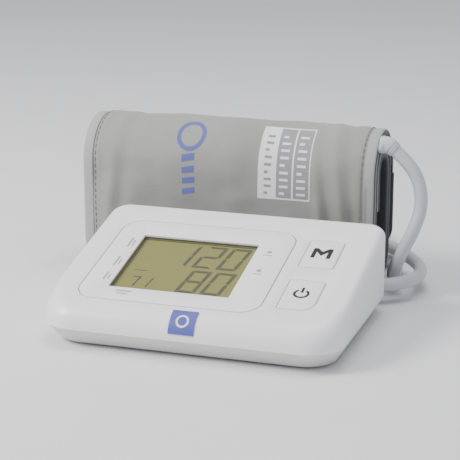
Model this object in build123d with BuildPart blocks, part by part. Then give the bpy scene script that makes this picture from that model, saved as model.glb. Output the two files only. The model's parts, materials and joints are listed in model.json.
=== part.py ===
from build123d import *
import os
from math import sin, cos, tan, radians, degrees, pi

os.makedirs("parts", exist_ok=True)

# ---------------------------------------------------------------- dimensions
# monitor
MX, MY = 12.6, -29.0          # centre of the monitor's plan outline
W, D = 138.0, 100.0           # overall width and depth
HR = 43.0                     # height of the top face's plane at the rear
SLOPE = 14.0                  # slope of the top face, degrees
WALL = 2.2                    # housing wall
ZP = 9.0                      # parting plane of the two housings
ZB = 1.2                      # underside of the lower housing, above the feet
LIP_R = 11.4                  # radius of the front lip
T = tan(radians(SLOPE))
ZC = HR - D / 2 * T           # height of the top face's plane at the centre
# display
LCD_W, LCD_H = 57.0, 48.0     # visible screen
LCD_X, LCD_S = -14.0, -4.5    # its centre on the sloped face
PAN_W, PAN_H, PAN_X, PAN_S, PAN_R = 86.0, 72.0, -12.5, -3.0, 9.5
# keys
KEY_X, KEY_W, KEY_H = 45.5, 16.2, 24.6
KEY_M_S, KEY_P_S = 15.8, -20.3
KEY_TRAVEL = 0.8
# cuff, a strip rolled into a flat roll that lies on its side along X
CX, CY = -5.4, 57.0           # centre of the roll in plan
CW = 150.0                    # width of the strip
PITCH = 5.0                   # from one turn to the next
R0 = 9.8                      # radius of the innermost turn's middle
ZT, ZBOT = 58.0, 19.5         # centres of the top and bottom bends
FLAP_END = 13.0               # height of the flap's free edge
# hose and plug
HOSE_OD = 6.5
SOCK_X, SOCK_Z = MX + 42.0, 9.0


def rounded(w, h, r):
    """A rounded rectangle drawn in the current sketch."""
    return RectangleRounded(w, h, r)


def outline(sk_w, y0, y1, rf, rr):
    """Plan outline with its own front and rear corner radii."""
    a = sk_w / 2
    edge = FilletPolyline((-a, y0), (a, y0), (a, y1), (-a, y1), radius=[rf, rf, rr, rr], close=True)
    return make_face(edge.edges())


MP = Plane(origin=(MX, MY, 0))
# plane of the sloped top face, x to the right, y up the slope
TP = Plane(origin=(MX, MY, ZC), x_dir=(1, 0, 0), z_dir=(0, -sin(radians(SLOPE)), cos(radians(SLOPE))))
SIDE = Plane(origin=(MX, MY, 0), x_dir=(0, 1, 0), z_dir=(1, 0, 0))


def side_profile(inset):
    """Side view of the upper housing: sloped top, round lip, straight back."""
    n = (-sin(radians(SLOPE)), cos(radians(SLOPE)))
    cv, cz = -D / 2 + LIP_R, ZC - LIP_R * 1.0
    # lip centre: LIP_R below the top plane and LIP_R behind the front
    cz = ZC + cv * T - LIP_R / cos(radians(SLOPE))
    r = LIP_R - inset
    back = D / 2 - inset
    top = ZC + back * T - inset / cos(radians(SLOPE))
    tp = (cv + r * n[0], cz + r * n[1])
    fp = (cv - r, cz)
    mid = radians((104.0 + 180.0) / 2)
    edges = [
        Line((back, ZP), (back, top)),
        Line((back, top), tp),
        ThreePointArc(tp, (cv + r * cos(mid), cz + r * sin(mid)), fp),
        Line(fp, (cv - r, ZP)),
        Line((cv - r, ZP), (back, ZP)),
    ]
    return make_face(edges)


# profiles of the housings, drawn once and used in the parts below
plan_out = outline(W, -D / 2, D / 2, 16.0, 9.0)
plan_in = outline(W - 2 * WALL, -D / 2 + WALL, D / 2 - WALL, 14.0, 7.0)
base_out = outline(129.0, -43.0, 47.5, 14.0, 10.0)
base_in = outline(129.0 - 4.4, -43.0 + WALL, 47.5 - WALL, 12.0, 8.0)
side_out = side_profile(0)
side_in = side_profile(WALL)


# ------------------------------------------------------------ upper housing
with BuildPart() as upper_cavity:
    with BuildSketch(MP.offset(ZP)):
        add(plan_in)
    extrude(amount=45)
    with BuildSketch(SIDE):
        add(side_in)
    extrude(amount=W, both=True, mode=Mode.INTERSECT)

with BuildPart() as upper_housing:
    with BuildSketch(MP.offset(ZP)):
        add(plan_out)
    extrude(amount=45)
    with BuildSketch(SIDE):
        add(side_out)
    extrude(amount=W, both=True, mode=Mode.INTERSECT)
    add(upper_cavity.part, mode=Mode.SUBTRACT)
    # pillars for the case screws and bosses for the board screws
    with BuildSketch(MP.offset(ZP)):
        with Locations((-61.0, 40.0), (61.0, 40.0)):
            Circle(3.2)
    extrude(amount=29.9)
    with BuildSketch(MP.offset(ZP)):
        with Locations((-59.0, -30.0), (59.0, -30.0)):
            Circle(3.2)
    extrude(amount=12.0)
    with BuildSketch(TP.offset(-6.5)):
        with Locations((-50.6, 28.0), (61.0, 22.0), (-50.6, -31.0), (60.0, -18.0)):
            Circle(2.6)
    extrude(amount=4.8)
    # screw holes
    with BuildSketch(MP.offset(ZP)):
        with Locations((-61.0, 40.0), (61.0, 40.0), (-59.0, -30.0), (59.0, -30.0)):
            Circle(1.25)
    extrude(amount=9.5, mode=Mode.SUBTRACT)
    with BuildSketch(TP.offset(-6.5)):
        with Locations((-50.6, 28.0), (61.0, 22.0), (-50.6, -31.0), (60.0, -18.0)):
            Circle(1.05)
    extrude(amount=3.4, mode=Mode.SUBTRACT)
    # recess of the display panel, window behind it, key holes
    with BuildSketch(TP.offset(-1.0)):
        with Locations((PAN_X, PAN_S)):
            rounded(PAN_W + 1.0, PAN_H + 1.0, PAN_R + 0.5)
    extrude(amount=4, mode=Mode.SUBTRACT)
    with BuildSketch(TP.offset(-4.0)):
        with Locations((LCD_X, LCD_S)):
            rounded(66.0, 57.0, 1.5)
    extrude(amount=6, mode=Mode.SUBTRACT)
    with BuildSketch(TP.offset(-4.0)):
        with Locations((KEY_X, KEY_M_S), (KEY_X, KEY_P_S)):
            rounded(KEY_W + 0.8, KEY_H + 0.8, 1.9)
    extrude(amount=6, mode=Mode.SUBTRACT)
    # air socket's hole in the back wall
    with BuildSketch(Plane(origin=(SOCK_X, MY + D / 2 + 1, 11.5), x_dir=(1, 0, 0), z_dir=(0, -1, 0))):
        Rectangle(9.4, 5.0 + 0.2)
    extrude(amount=5, mode=Mode.SUBTRACT)
upper_housing.part.label = "upper_housing"
export_step(upper_housing.part, "parts/upper_housing.step")

# ------------------------------------------------------------ lower housing
BAT_X0, BAT_X1, BAT_Y0, BAT_Y1 = -56.5, -3.0, -8.0, 38.0      # compartment, outside
with BuildPart() as lower_cavity:
    with BuildSketch(MP.offset(ZB + 2.0)):
        add(base_in)
    with BuildSketch(MP.offset(ZP)):
        add(plan_in)
    loft()

with BuildPart() as lower_housing:
    with BuildSketch(MP.offset(ZB)):
        add(base_out)
    with BuildSketch(MP.offset(ZP)):
        add(plan_out)
    loft()
    add(lower_cavity.part, mode=Mode.SUBTRACT)
    # battery compartment box, screw bosses
    with BuildSketch(MP.offset(ZB + 0.6)):
        with Locations(((BAT_X0 + BAT_X1) / 2, (BAT_Y0 + BAT_Y1) / 2)):
            Rectangle(BAT_X1 - BAT_X0, BAT_Y1 - BAT_Y0)
    extrude(amount=14.4)
    with BuildSketch(MP.offset(ZB + 1.0)):
        with Locations((-60.2, 39.6), (60.2, 39.6), (-57.0, -29.0), (57.0, -29.0)):
            Circle(3.4)
    extrude(amount=ZP - ZB - 1.0)
    # hollow of the compartment, open downwards
    with BuildSketch(MP.offset(ZB - 1.0)):
        with Locations(((BAT_X0 + BAT_X1) / 2, (BAT_Y0 + BAT_Y1) / 2)):
            Rectangle(BAT_X1 - BAT_X0 - 3.0, BAT_Y1 - BAT_Y0 - 3.0)
    extrude(amount=14.6, mode=Mode.SUBTRACT)
    # recess for the sliding door, open at the left side
    with BuildSketch(MP.offset(ZB - 1.0)):
        with Locations(((-80.0 + 1.0) / 2, 15.0)):
            Rectangle(81.0, 51.0)
    extrude(amount=1.0 + 1.9, mode=Mode.SUBTRACT)
    # screw holes with counterbores from below
    with BuildSketch(MP.offset(ZB - 0.5)):
        with Locations((-61.0, 40.0), (61.0, 40.0), (-59.0, -30.0), (59.0, -30.0)):
            Circle(1.6)
    extrude(amount=12, mode=Mode.SUBTRACT)
    with BuildSketch(MP.offset(ZB - 0.5)):
        with Locations((61.0, 40.0), (-61.0, 40.0), (-59.0, -30.0), (59.0, -30.0)):
            Circle(2.7)
    extrude(amount=4.3, mode=Mode.SUBTRACT)
    # notch of the air socket in the back wall
    with BuildSketch(Plane(origin=(SOCK_X, MY + D / 2 + 1, 9.0), x_dir=(1, 0, 0), z_dir=(0, -1, 0))):
        Rectangle(9.4, 10.2)
    extrude(amount=7, mode=Mode.SUBTRACT)
lower_housing.part.label = "lower_housing"
export_step(lower_housing.part, "parts/lower_housing.step")

# -------------------------------------------------------------- battery door
with BuildPart() as battery_door:
    with BuildSketch(MP.offset(ZB)):
        with Locations(((-63.0 + 0.6) / 2, 15.0)):
            rounded(63.6, 50.2, 1.5)
    extrude(amount=1.5)
    # raised grip ribs on the underside are cut as shallow grooves
    with BuildSketch(MP.offset(ZB)):
        with Locations((-52.0, 15.0), (-49.0, 15.0), (-46.0, 15.0), (-43.0, 15.0)):
            Rectangle(1.2, 18.0)
    extrude(amount=0.5, mode=Mode.SUBTRACT)
battery_door.part.label = "battery_door"
export_step(battery_door.part, "parts/battery_door.step")

# ------------------------------------------------------------ batteries etc.
CELL_R, CELL_L = 5.25, 44.5
cell_ys = [MY + 15.0 + k * 10.65 for k in (-1.5, -0.5, 0.5, 1.5)]
CELL_Z = ZB + 1.9 + 0.5 + CELL_R
cell_x0 = MX - 52.3
with BuildPart() as batteries:
    for i, y in enumerate(cell_ys):
        s = 1 if i % 2 == 0 else -1
        xa = cell_x0 if s > 0 else cell_x0 + CELL_L
        with BuildSketch(Plane(origin=(xa, y, CELL_Z), x_dir=(0, 1, 0), z_dir=(s, 0, 0))):
            Circle(CELL_R)
        extrude(amount=CELL_L - 0.8)
        with BuildSketch(Plane(origin=(xa + s * (CELL_L - 0.8), y, CELL_Z), x_dir=(0, 1, 0), z_dir=(s, 0, 0))):
            Circle(1.9)
        extrude(amount=0.8)
batteries.part.label = "batteries"
export_step(batteries.part, "parts/batteries.step")

# plates at both ends, with a coil spring (drawn as its envelope) at each minus end
with BuildPart() as battery_contacts:
    for i, y in enumerate(cell_ys):
        s = 1 if i % 2 == 0 else -1
        xm = cell_x0 if s > 0 else cell_x0 + CELL_L
        xp = cell_x0 + CELL_L if s > 0 else cell_x0
        wall_m = MX + BAT_X0 + 1.5 + 0.1 if s > 0 else MX + BAT_X1 - 1.5 - 0.1
        with BuildSketch(Plane(origin=(wall_m, y, CELL_Z), x_dir=(0, 1, 0), z_dir=(s, 0, 0))):
            Rectangle(8.0, 9.0)
        extrude(amount=0.4)
        gap = abs(xm - wall_m) - 0.4
        with BuildSketch(Plane(origin=(wall_m + s * 0.4, y, CELL_Z), x_dir=(0, 1, 0), z_dir=(s, 0, 0))):
            Circle(3.2)
        extrude(amount=gap, taper=8 if gap > 1.5 else 0)
        wall_p = MX + BAT_X1 - 1.5 - 0.1 if s > 0 else MX + BAT_X0 + 1.5 + 0.1
        with BuildSketch(Plane(origin=(wall_p, y, CELL_Z), x_dir=(0, 1, 0), z_dir=(-s, 0, 0))):
            Rectangle(8.0, 9.0)
        extrude(amount=abs(wall_p - xp))
battery_contacts.part.label = "battery_contacts"
export_step(battery_contacts.part, "parts/battery_contacts.step")

# ------------------------------------------------------------- display stack
with BuildPart() as display_panel:
    with BuildSketch(TP.offset(-1.0)):
        with Locations((PAN_X, PAN_S)):
            rounded(PAN_W, PAN_H, PAN_R)
        with Locations((LCD_X, LCD_S)):
            Rectangle(LCD_W, LCD_H, mode=Mode.SUBTRACT)
    extrude(amount=1.0)
display_panel.part.label = "display_panel"
export_step(display_panel.part, "parts/display_panel.step")

with BuildPart() as display_window:
    with BuildSketch(TP.offset(-2.0)):
        with Locations((LCD_X, LCD_S)):
            rounded(65.4, 56.4, 1.2)
    extrude(amount=1.0)
display_window.part.label = "display_window"
export_step(display_window.part, "parts/display_window.step")

with BuildPart() as lcd_panel:
    with BuildSketch(TP.offset(-4.3)):
        with Locations((LCD_X, LCD_S)):
            Rectangle(62.0, 53.0)
    extrude(amount=2.2)
lcd_panel.part.label = "lcd_panel"
export_step(lcd_panel.part, "parts/lcd_panel.step")

with BuildPart() as lcd_frame:
    with BuildSketch(TP.offset(-6.4)):
        with Locations((LCD_X, LCD_S)):
            Rectangle(65.0, 56.0)
            Rectangle(62.3, 53.3, mode=Mode.SUBTRACT)
    extrude(amount=4.2)
    with BuildSketch(TP.offset(-5.4)):
        with Locations((LCD_X, LCD_S)):
            Rectangle(65.0, 56.0)
            Rectangle(58.0, 43.0, mode=Mode.SUBTRACT)
            with Locations((0, 24.0), (0, -24.0)):
                Rectangle(52.0, 2.6, mode=Mode.SUBTRACT)
    extrude(amount=1.0)
lcd_frame.part.label = "lcd_frame"
export_step(lcd_frame.part, "parts/lcd_frame.step")

with BuildPart() as lcd_connectors:
    with BuildSketch(TP.offset(-6.5)):
        with Locations((LCD_X, LCD_S + 24.0), (LCD_X, LCD_S - 24.0)):
            Rectangle(50.0, 2.0)
    extrude(amount=2.2)
lcd_connectors.part.label = "lcd_connectors"
export_step(lcd_connectors.part, "parts/lcd_connectors.step")

with BuildPart() as circuit_board:
    with BuildSketch(TP.offset(-8.1)):
        with Locations((5.0, -1.5)):
            rounded(120.0, 67.0, 2.0)
        with Locations((-50.6, 28.0), (61.0, 22.0), (-50.6, -31.0), (60.0, -18.0)):
            Circle(1.3, mode=Mode.SUBTRACT)
        with Locations((59.0, -31.5)):
            Rectangle(14.0, 12.0, mode=Mode.SUBTRACT)
    extrude(amount=1.6)
circuit_board.part.label = "circuit_board"
export_step(circuit_board.part, "parts/circuit_board.step")

with BuildPart() as board_screws:
    for u, s in ((-50.6, 28.0), (61.0, 22.0), (-50.6, -31.0), (60.0, -18.0)):
        with BuildSketch(TP.offset(-9.6)):
            with Locations((u, s)):
                Circle(2.3)
        extrude(amount=1.5)
        with BuildSketch(TP.offset(-8.1)):
            with Locations((u, s)):
                Circle(1.0)
        extrude(amount=4.6)
board_screws.part.label = "board_screws"
export_step(board_screws.part, "parts/board_screws.step")

# --------------------------------------------------------------------- keys
with BuildPart() as m_button:
    with BuildSketch(TP.offset(-2.5)):
        with Locations((KEY_X, KEY_M_S)):
            rounded(KEY_W, KEY_H, 1.5)
    extrude(amount=2.6)
    with BuildSketch(TP.offset(-3.3)):
        with Locations((KEY_X, KEY_M_S)):
            rounded(KEY_W + 2.4, KEY_H + 2.4, 1.8)
    extrude(amount=0.8)
    with BuildSketch(TP.offset(-3.9)):
        with Locations((KEY_X, KEY_M_S)):
            Circle(1.6)
    extrude(amount=0.6)
m_button.part.label = "m_button"
export_step(m_button.part, "parts/m_button.step")

with BuildPart() as power_button:
    with BuildSketch(TP.offset(-2.5)):
        a, b = KEY_W / 2, KEY_H / 2
        with BuildLine():
            FilletPolyline((KEY_X - a, KEY_P_S - b), (KEY_X + a, KEY_P_S - b), (KEY_X + a, KEY_P_S + b), (KEY_X - a, KEY_P_S + b), radius=[1.5, 6.5, 1.5, 1.5], close=True)
        make_face()
    extrude(amount=2.6)
    with BuildSketch(TP.offset(-3.3)):
        with Locations((KEY_X, KEY_P_S)):
            rounded(KEY_W + 2.4, KEY_H + 2.4, 1.8)
    extrude(amount=0.8)
    with BuildSketch(TP.offset(-3.9)):
        with Locations((KEY_X, KEY_P_S)):
            Circle(1.6)
    extrude(amount=0.6)
power_button.part.label = "power_button"
export_step(power_button.part, "parts/power_button.step")

# rubber pad: a thin sheet on the board with a dome over each switch
with BuildPart() as button_pad:
    with BuildSketch(TP.offset(-6.5)):
        with Locations((KEY_X, -2.2)):
            Rectangle(14.0, 56.0)
        with Locations((KEY_X, KEY_M_S), (KEY_X, KEY_P_S)):
            Circle(3.4, mode=Mode.SUBTRACT)
    extrude(amount=0.6)
    with BuildSketch(TP.offset(-5.9)):
        with Locations((KEY_X, KEY_M_S), (KEY_X, KEY_P_S)):
            Circle(4.4)
    extrude(amount=0.9, taper=12)
    with BuildSketch(TP.offset(-5.9)):
        with Locations((KEY_X, KEY_M_S), (KEY_X, KEY_P_S)):
            Circle(3.4)
    extrude(amount=0.4, mode=Mode.SUBTRACT)
button_pad.part.label = "button_pad"
export_step(button_pad.part, "parts/button_pad.step")

with BuildPart() as tact_switches:
    with BuildSketch(TP.offset(-6.5)):
        with Locations((KEY_X, KEY_M_S), (KEY_X, KEY_P_S)):
            Circle(2.6)
    extrude(amount=0.7)
tact_switches.part.label = "tact_switches"
export_step(tact_switches.part, "parts/tact_switches.step")

# -------------------------------------------------------------------- badge
with BuildPart() as badge:
    cv = -D / 2 + LIP_R
    cz = ZC + cv * T - LIP_R / cos(radians(SLOPE))
    a0, a1 = radians(108.0), radians(168.0)
    am = (a0 + a1) / 2
    ri, ro = LIP_R, LIP_R + 0.3
    with BuildSketch(SIDE):
        with BuildLine():
            e1 = ThreePointArc((cv + ri * cos(a0), cz + ri * sin(a0)), (cv + ri * cos(am), cz + ri * sin(am)), (cv + ri * cos(a1), cz + ri * sin(a1)))
            e2 = Line(e1 @ 1, (cv + ro * cos(a1), cz + ro * sin(a1)))
            e3 = ThreePointArc(e2 @ 1, (cv + ro * cos(am), cz + ro * sin(am)), (cv + ro * cos(a0), cz + ro * sin(a0)))
            Line(e3 @ 1, e1 @ 0)
        make_face()
    extrude(amount=5.9, both=True)
badge.part.label = "badge"
export_step(badge.part, "parts/badge.step")

# ---------------------------------------------------------- pump and valve
PY, PZ = MY + 28.0, 13.6
with BuildPart() as pump_motor:
    with BuildSketch(Plane(origin=(MX - 1.0, PY, PZ), x_dir=(0, 1, 0), z_dir=(1, 0, 0))):
        Circle(9.0)
    extrude(amount=22.0)
    with BuildSketch(Plane(origin=(MX + 5.0, PY, PZ), x_dir=(0, 1, 0), z_dir=(1, 0, 0))):
        Circle(1.05)
    extrude(amount=20.0, mode=Mode.SUBTRACT)
pump_motor.part.label = "pump_motor"
export_step(pump_motor.part, "parts/pump_motor.step")

with BuildPart() as pump_head:
    with BuildSketch(Plane(origin=(MX + 21.0, PY, PZ), x_dir=(0, 1, 0), z_dir=(1, 0, 0))):
        Circle(9.8)
    extrude(amount=15.0)
    with BuildSketch(Plane(origin=(MX + 21.0, PY, PZ), x_dir=(0, 1, 0), z_dir=(1, 0, 0))):
        Circle(8.2)
    extrude(amount=8.5, mode=Mode.SUBTRACT)
    # outlet nipple on the front side
    with BuildSketch(Plane(origin=(MX + 30.0, PY - 9.0, SOCK_Z), x_dir=(1, 0, 0), z_dir=(0, -1, 0))):
        Circle(1.9)
    extrude(amount=2.0)
pump_head.part.label = "pump_head"
export_step(pump_head.part, "parts/pump_head.step")

with BuildPart() as pump_crank:
    with BuildSketch(Plane(origin=(MX + 6.0, PY, PZ), x_dir=(0, 1, 0), z_dir=(1, 0, 0))):
        Circle(1.0)
    extrude(amount=16.5)
    with BuildSketch(Plane(origin=(MX + 22.5, PY, PZ), x_dir=(0, 1, 0), z_dir=(1, 0, 0))):
        Circle(4.0)
    extrude(amount=2.4)
    with BuildSketch(Plane(origin=(MX + 24.9, PY, PZ), x_dir=(0, 1, 0), z_dir=(1, 0, 0))):
        with Locations((1.8, 0)):
            Circle(1.0)
    extrude(amount=1.6)
pump_crank.part.label = "pump_crank"
export_step(pump_crank.part, "parts/pump_crank.step")

with BuildPart() as pump_diaphragm:
    with BuildSketch(Plane(origin=(MX + 27.3, PY, PZ), x_dir=(0, 1, 0), z_dir=(1, 0, 0))):
        Circle(8.1)
        Circle(1.4, mode=Mode.SUBTRACT)
    extrude(amount=2.1)
pump_diaphragm.part.label = "pump_diaphragm"
export_step(pump_diaphragm.part, "parts/pump_diaphragm.step")

# four-way manifold: barbs to the socket, pump, valve and sensor
MAN_Y = MY + 13.0
with BuildPart() as air_manifold:
    with BuildSketch(Plane.XY.offset(SOCK_Z - 3.5)):
        with Locations((SOCK_X, MAN_Y)):
            rounded(8.0, 14.0, 1.5)
    extrude(amount=7.0)
    for o, z in (((SOCK_X, MAN_Y + 6.0, SOCK_Z), (0, 1, 0)), ((SOCK_X, MAN_Y - 6.0, SOCK_Z), (0, -1, 0)), ((SOCK_X - 3.0, MAN_Y, SOCK_Z), (-1, 0, 0)), ((SOCK_X + 3.0, MAN_Y, SOCK_Z), (1, 0, 0))):
        with BuildSketch(Plane(origin=o, x_dir=(0, 0, 1), z_dir=z)):
            Circle(1.9)
        extrude(amount=5.6)
air_manifold.part.label = "air_manifold"
export_step(air_manifold.part, "parts/air_manifold.step")

with BuildPart() as exhaust_valve:
    with BuildSketch(Plane(origin=(SOCK_X, MAN_Y - 18.0, SOCK_Z + 0.6), x_dir=(1, 0, 0), z_dir=(0, -1, 0))):
        Circle(5.0)
    extrude(amount=15.0)
    with BuildSketch(Plane(origin=(SOCK_X, MAN_Y - 13.0, SOCK_Z), x_dir=(1, 0, 0), z_dir=(0, -1, 0))):
        Circle(1.9)
    extrude(amount=6.0)
    with BuildSketch(Plane(origin=(SOCK_X, MAN_Y - 34.0, SOCK_Z + 0.6), x_dir=(1, 0, 0), z_dir=(0, 1, 0))):
        Circle(2.05)
    extrude(amount=12.0, mode=Mode.SUBTRACT)
exhaust_valve.part.label = "exhaust_valve"
export_step(exhaust_valve.part, "parts/exhaust_valve.step")

with BuildPart() as valve_plunger:
    with BuildSketch(Plane(origin=(SOCK_X, MAN_Y - 35.0, SOCK_Z + 0.6), x_dir=(1, 0, 0), z_dir=(0, 1, 0))):
        Circle(2.0)
    extrude(amount=11.6)
valve_plunger.part.label = "valve_plunger"
export_step(valve_plunger.part, "parts/valve_plunger.step")

with BuildPart() as pressure_sensor:
    with BuildSketch(MP.offset(16.6)):
        with Locations((60.5, 13.0)):
            Rectangle(6.5, 7.0)
    extrude(amount=5.4)
    with BuildSketch(MP.offset(13.0)):
        with Locations((60.5, 13.0)):
            Circle(1.5)
    extrude(amount=3.8)
pressure_sensor.part.label = "pressure_sensor"
export_step(pressure_sensor.part, "parts/pressure_sensor.step")

with BuildPart() as air_tubes:
    # socket to manifold
    with BuildSketch(Plane(origin=(SOCK_X, MAN_Y + 7.2, SOCK_Z), x_dir=(1, 0, 0), z_dir=(0, 1, 0))):
        Circle(3.0)
        Circle(1.95, mode=Mode.SUBTRACT)
    extrude(amount=12.0)
    # manifold to valve
    with BuildSketch(Plane(origin=(SOCK_X, MAN_Y - 7.2, SOCK_Z), x_dir=(1, 0, 0), z_dir=(0, -1, 0))):
        Circle(3.0)
        Circle(1.95, mode=Mode.SUBTRACT)
    extrude(amount=10.6)
    # pump to manifold, one bend
    with BuildLine() as t2:
        FilletPolyline((MX + 30.0, PY - 10.4, SOCK_Z), (MX + 30.0, MAN_Y, SOCK_Z), (SOCK_X - 4.2, MAN_Y, SOCK_Z), radius=4.0)
    with BuildSketch(Plane(origin=(MX + 30.0, PY - 10.4, SOCK_Z), x_dir=(1, 0, 0), z_dir=(0, -1, 0))):
        Circle(3.0)
        Circle(1.95, mode=Mode.SUBTRACT)
    sweep(path=t2.line)
    # manifold to sensor, one bend up
    with BuildLine() as t4:
        FilletPolyline((SOCK_X + 4.2, MAN_Y, SOCK_Z), (MX + 60.5, MAN_Y, SOCK_Z), (MX + 60.5, MAN_Y, 16.2), radius=3.6)
    with BuildSketch(Plane(origin=(SOCK_X + 4.2, MAN_Y, SOCK_Z), x_dir=(0, 1, 0), z_dir=(1, 0, 0))):
        Circle(3.0)
        Circle(1.95, mode=Mode.SUBTRACT)
    sweep(path=t4.line)
air_tubes.part.label = "air_tubes"
export_step(air_tubes.part, "parts/air_tubes.step")

with BuildPart() as air_socket:
    # flange outside the back wall, body through it, barb inside
    with BuildSketch(Plane(origin=(SOCK_X, MY + D / 2 + 0.9, SOCK_Z + 0.3), x_dir=(1, 0, 0), z_dir=(0, -1, 0))):
        Circle(6.2)
    extrude(amount=0.8)
    with BuildSketch(Plane(origin=(SOCK_X, MY + D / 2 + 0.1, SOCK_Z), x_dir=(1, 0, 0), z_dir=(0, -1, 0))):
        Circle(4.5)
    extrude(amount=16.0)
    with BuildSketch(Plane(origin=(SOCK_X, MY + D / 2 - 15.9, SOCK_Z), x_dir=(1, 0, 0), z_dir=(0, -1, 0))):
        Circle(1.9)
    extrude(amount=7.0)
    with BuildSketch(Plane(origin=(SOCK_X, MY + D / 2 + 2.0, SOCK_Z), x_dir=(1, 0, 0), z_dir=(0, -1, 0))):
        Circle(2.6)
    extrude(amount=14.0, mode=Mode.SUBTRACT)
air_socket.part.label = "air_socket"
export_step(air_socket.part, "parts/air_socket.step")

with BuildPart() as buzzer:
    with BuildSketch(TP.offset(-11.6)):
        with Locations((-46.0, -22.0)):
            Circle(4.5)
            Circle(0.9, mode=Mode.SUBTRACT)
    extrude(amount=3.5)
buzzer.part.label = "buzzer"
export_step(buzzer.part, "parts/buzzer.step")

# ------------------------------------------------------- feet and screws
with BuildPart() as rubber_feet:
    with BuildSketch(MP.offset(0)):
        with Locations((-50.0, -32.0), (50.0, -32.0), (50.0, 38.0), (-47.0, 44.0)):
            Circle(3.4)
    extrude(amount=ZB)
rubber_feet.part.label = "rubber_feet"
export_step(rubber_feet.part, "parts/rubber_feet.step")

with BuildPart() as case_screws:
    for u, v in ((-61.0, 40.0), (61.0, 40.0), (-59.0, -30.0), (59.0, -30.0)):
        with BuildSketch(MP.offset(ZB + 1.8)):
            with Locations((u, v)):
                Circle(2.4)
        extrude(amount=2.0)
        with BuildSketch(MP.offset(ZB + 3.8)):
            with Locations((u, v)):
                Circle(1.2)
        extrude(amount=13.0)
case_screws.part.label = "case_screws"
export_step(case_screws.part, "parts/case_screws.step")

# ===================================================================== cuff
SIDE_C = Plane(origin=(CX, CY, 0), x_dir=(0, 1, 0), z_dir=(1, 0, 0))


def band(d0, d1, start_z, end_z, k0=0, k1=2):
    """A layer of the rolled strip between offsets d0 and d1 from its middle.
    It starts on the front side of turn k0 and ends on the back side of turn k1."""
    def run(d, fwd):
        pts = []
        for k in range(k0, k1 + 1):
            r = R0 + k * PITCH + d
            pts.append(("L", (-r, start_z if k == k0 else ZBOT), (-r, ZT)))
            pts.append(("A", (-r, ZT), (0, ZT + r), (r, ZT)))
            last = end_z if k == k1 else ZBOT
            pts.append(("L", (r, ZT), (r, last)))
            if k < k1:
                rb = R0 + k * PITCH + PITCH / 2 + d
                c = -PITCH / 2
                pts.append(("A", (c + rb, ZBOT), (c, ZBOT - rb), (c - rb, ZBOT)))
        pts = [p for p in pts if not (p[0] == "L" and abs(p[1][1] - p[2][1]) < 1e-6)]
        return pts
    out, inn = run(d1, True), run(d0, False)
    edges = [Line(*p[1:]) if p[0] == "L" else ThreePointArc(*p[1:]) for p in out + inn]
    edges.append(Line(out[-1][-1], inn[-1][-1]))
    edges.append(Line(inn[0][1], out[0][1]))
    return make_face(edges)


STRIP_START = 41.0
cover_band = band(1.2, 2.2, STRIP_START, ZT)
bladder_band = band(-1.2, 1.2, STRIP_START + 3.0, ZT)
lining_band = band(-2.2, -1.2, STRIP_START, ZT)
strip_band = band(-2.2, 2.2, STRIP_START, ZT)

with BuildPart() as cuff_cover:
    with BuildSketch(SIDE_C):
        add(cover_band)
    extrude(amount=CW / 2, both=True)
cuff_cover.part.label = "cuff_cover"
export_step(cuff_cover.part, "parts/cuff_cover.step")

with BuildPart() as cuff_bladder:
    with BuildSketch(SIDE_C):
        add(bladder_band)
    extrude(amount=CW / 2 - 4.0, both=True)
cuff_bladder.part.label = "cuff_bladder"
export_step(cuff_bladder.part, "parts/cuff_bladder.step")

with BuildPart() as cuff_lining:
    with BuildSketch(SIDE_C):
        add(lining_band)
    extrude(amount=CW / 2, both=True)
cuff_lining.part.label = "cuff_lining"
export_step(cuff_lining.part, "parts/cuff_lining.step")

with BuildPart() as edge_bindings:
    for sx in (-1, 1):
        with BuildSketch(Plane(origin=(CX + sx * CW / 2 + (0 if sx > 0 else -1.2), CY, 0), x_dir=(0, 1, 0), z_dir=(1, 0, 0))):
            add(strip_band)
        extrude(amount=1.2)
edge_bindings.part.label = "edge_bindings"
export_step(edge_bindings.part, "parts/edge_bindings.step")

R1, R2 = R0 + PITCH, R0 + 2 * PITCH
# fastening end of the strip: hooks on its inner face, loops on the turn below
HINGE_Y, HINGE_Z = CY + R2 + 2.4, ZT - 0.2
with BuildPart() as closing_flap:
    with BuildSketch(Plane(origin=(CX, CY + R2, 0), x_dir=(1, 0, 0), z_dir=(0, 1, 0))):
        with BuildLine():
            a = CW / 2 + 1.2
            FilletPolyline((-a, -(ZT - 0.4)), (a, -(ZT - 0.4)), (a, -FLAP_END), (-a, -FLAP_END), radius=[0.3, 0.3, 12.0, 12.0], close=True)
        make_face()
    extrude(amount=2.2)
closing_flap.part.label = "closing_flap"
export_step(closing_flap.part, "parts/closing_flap.step")

with BuildPart() as hook_patch:
    with BuildSketch(Plane(origin=(CX, CY + R2 - 1.2, 0), x_dir=(1, 0, 0), z_dir=(0, 1, 0))):
        with Locations((0, -(ZT + FLAP_END) / 2 + 0.5)):
            rounded(112.0, 34.0, 5.0)
    extrude(amount=1.2)
hook_patch.part.label = "hook_patch"
export_step(hook_patch.part, "parts/hook_patch.step")

with BuildPart() as loop_patch:
    with BuildSketch(Plane(origin=(CX, CY + R1 + 2.2, 0), x_dir=(1, 0, 0), z_dir=(0, 1, 0))):
        with Locations((0, -(ZT + ZBOT) / 2)):
            rounded(130.0, 36.0, 4.0)
    extrude(amount=1.1)
loop_patch.part.label = "loop_patch"
export_step(loop_patch.part, "parts/loop_patch.step")

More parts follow.
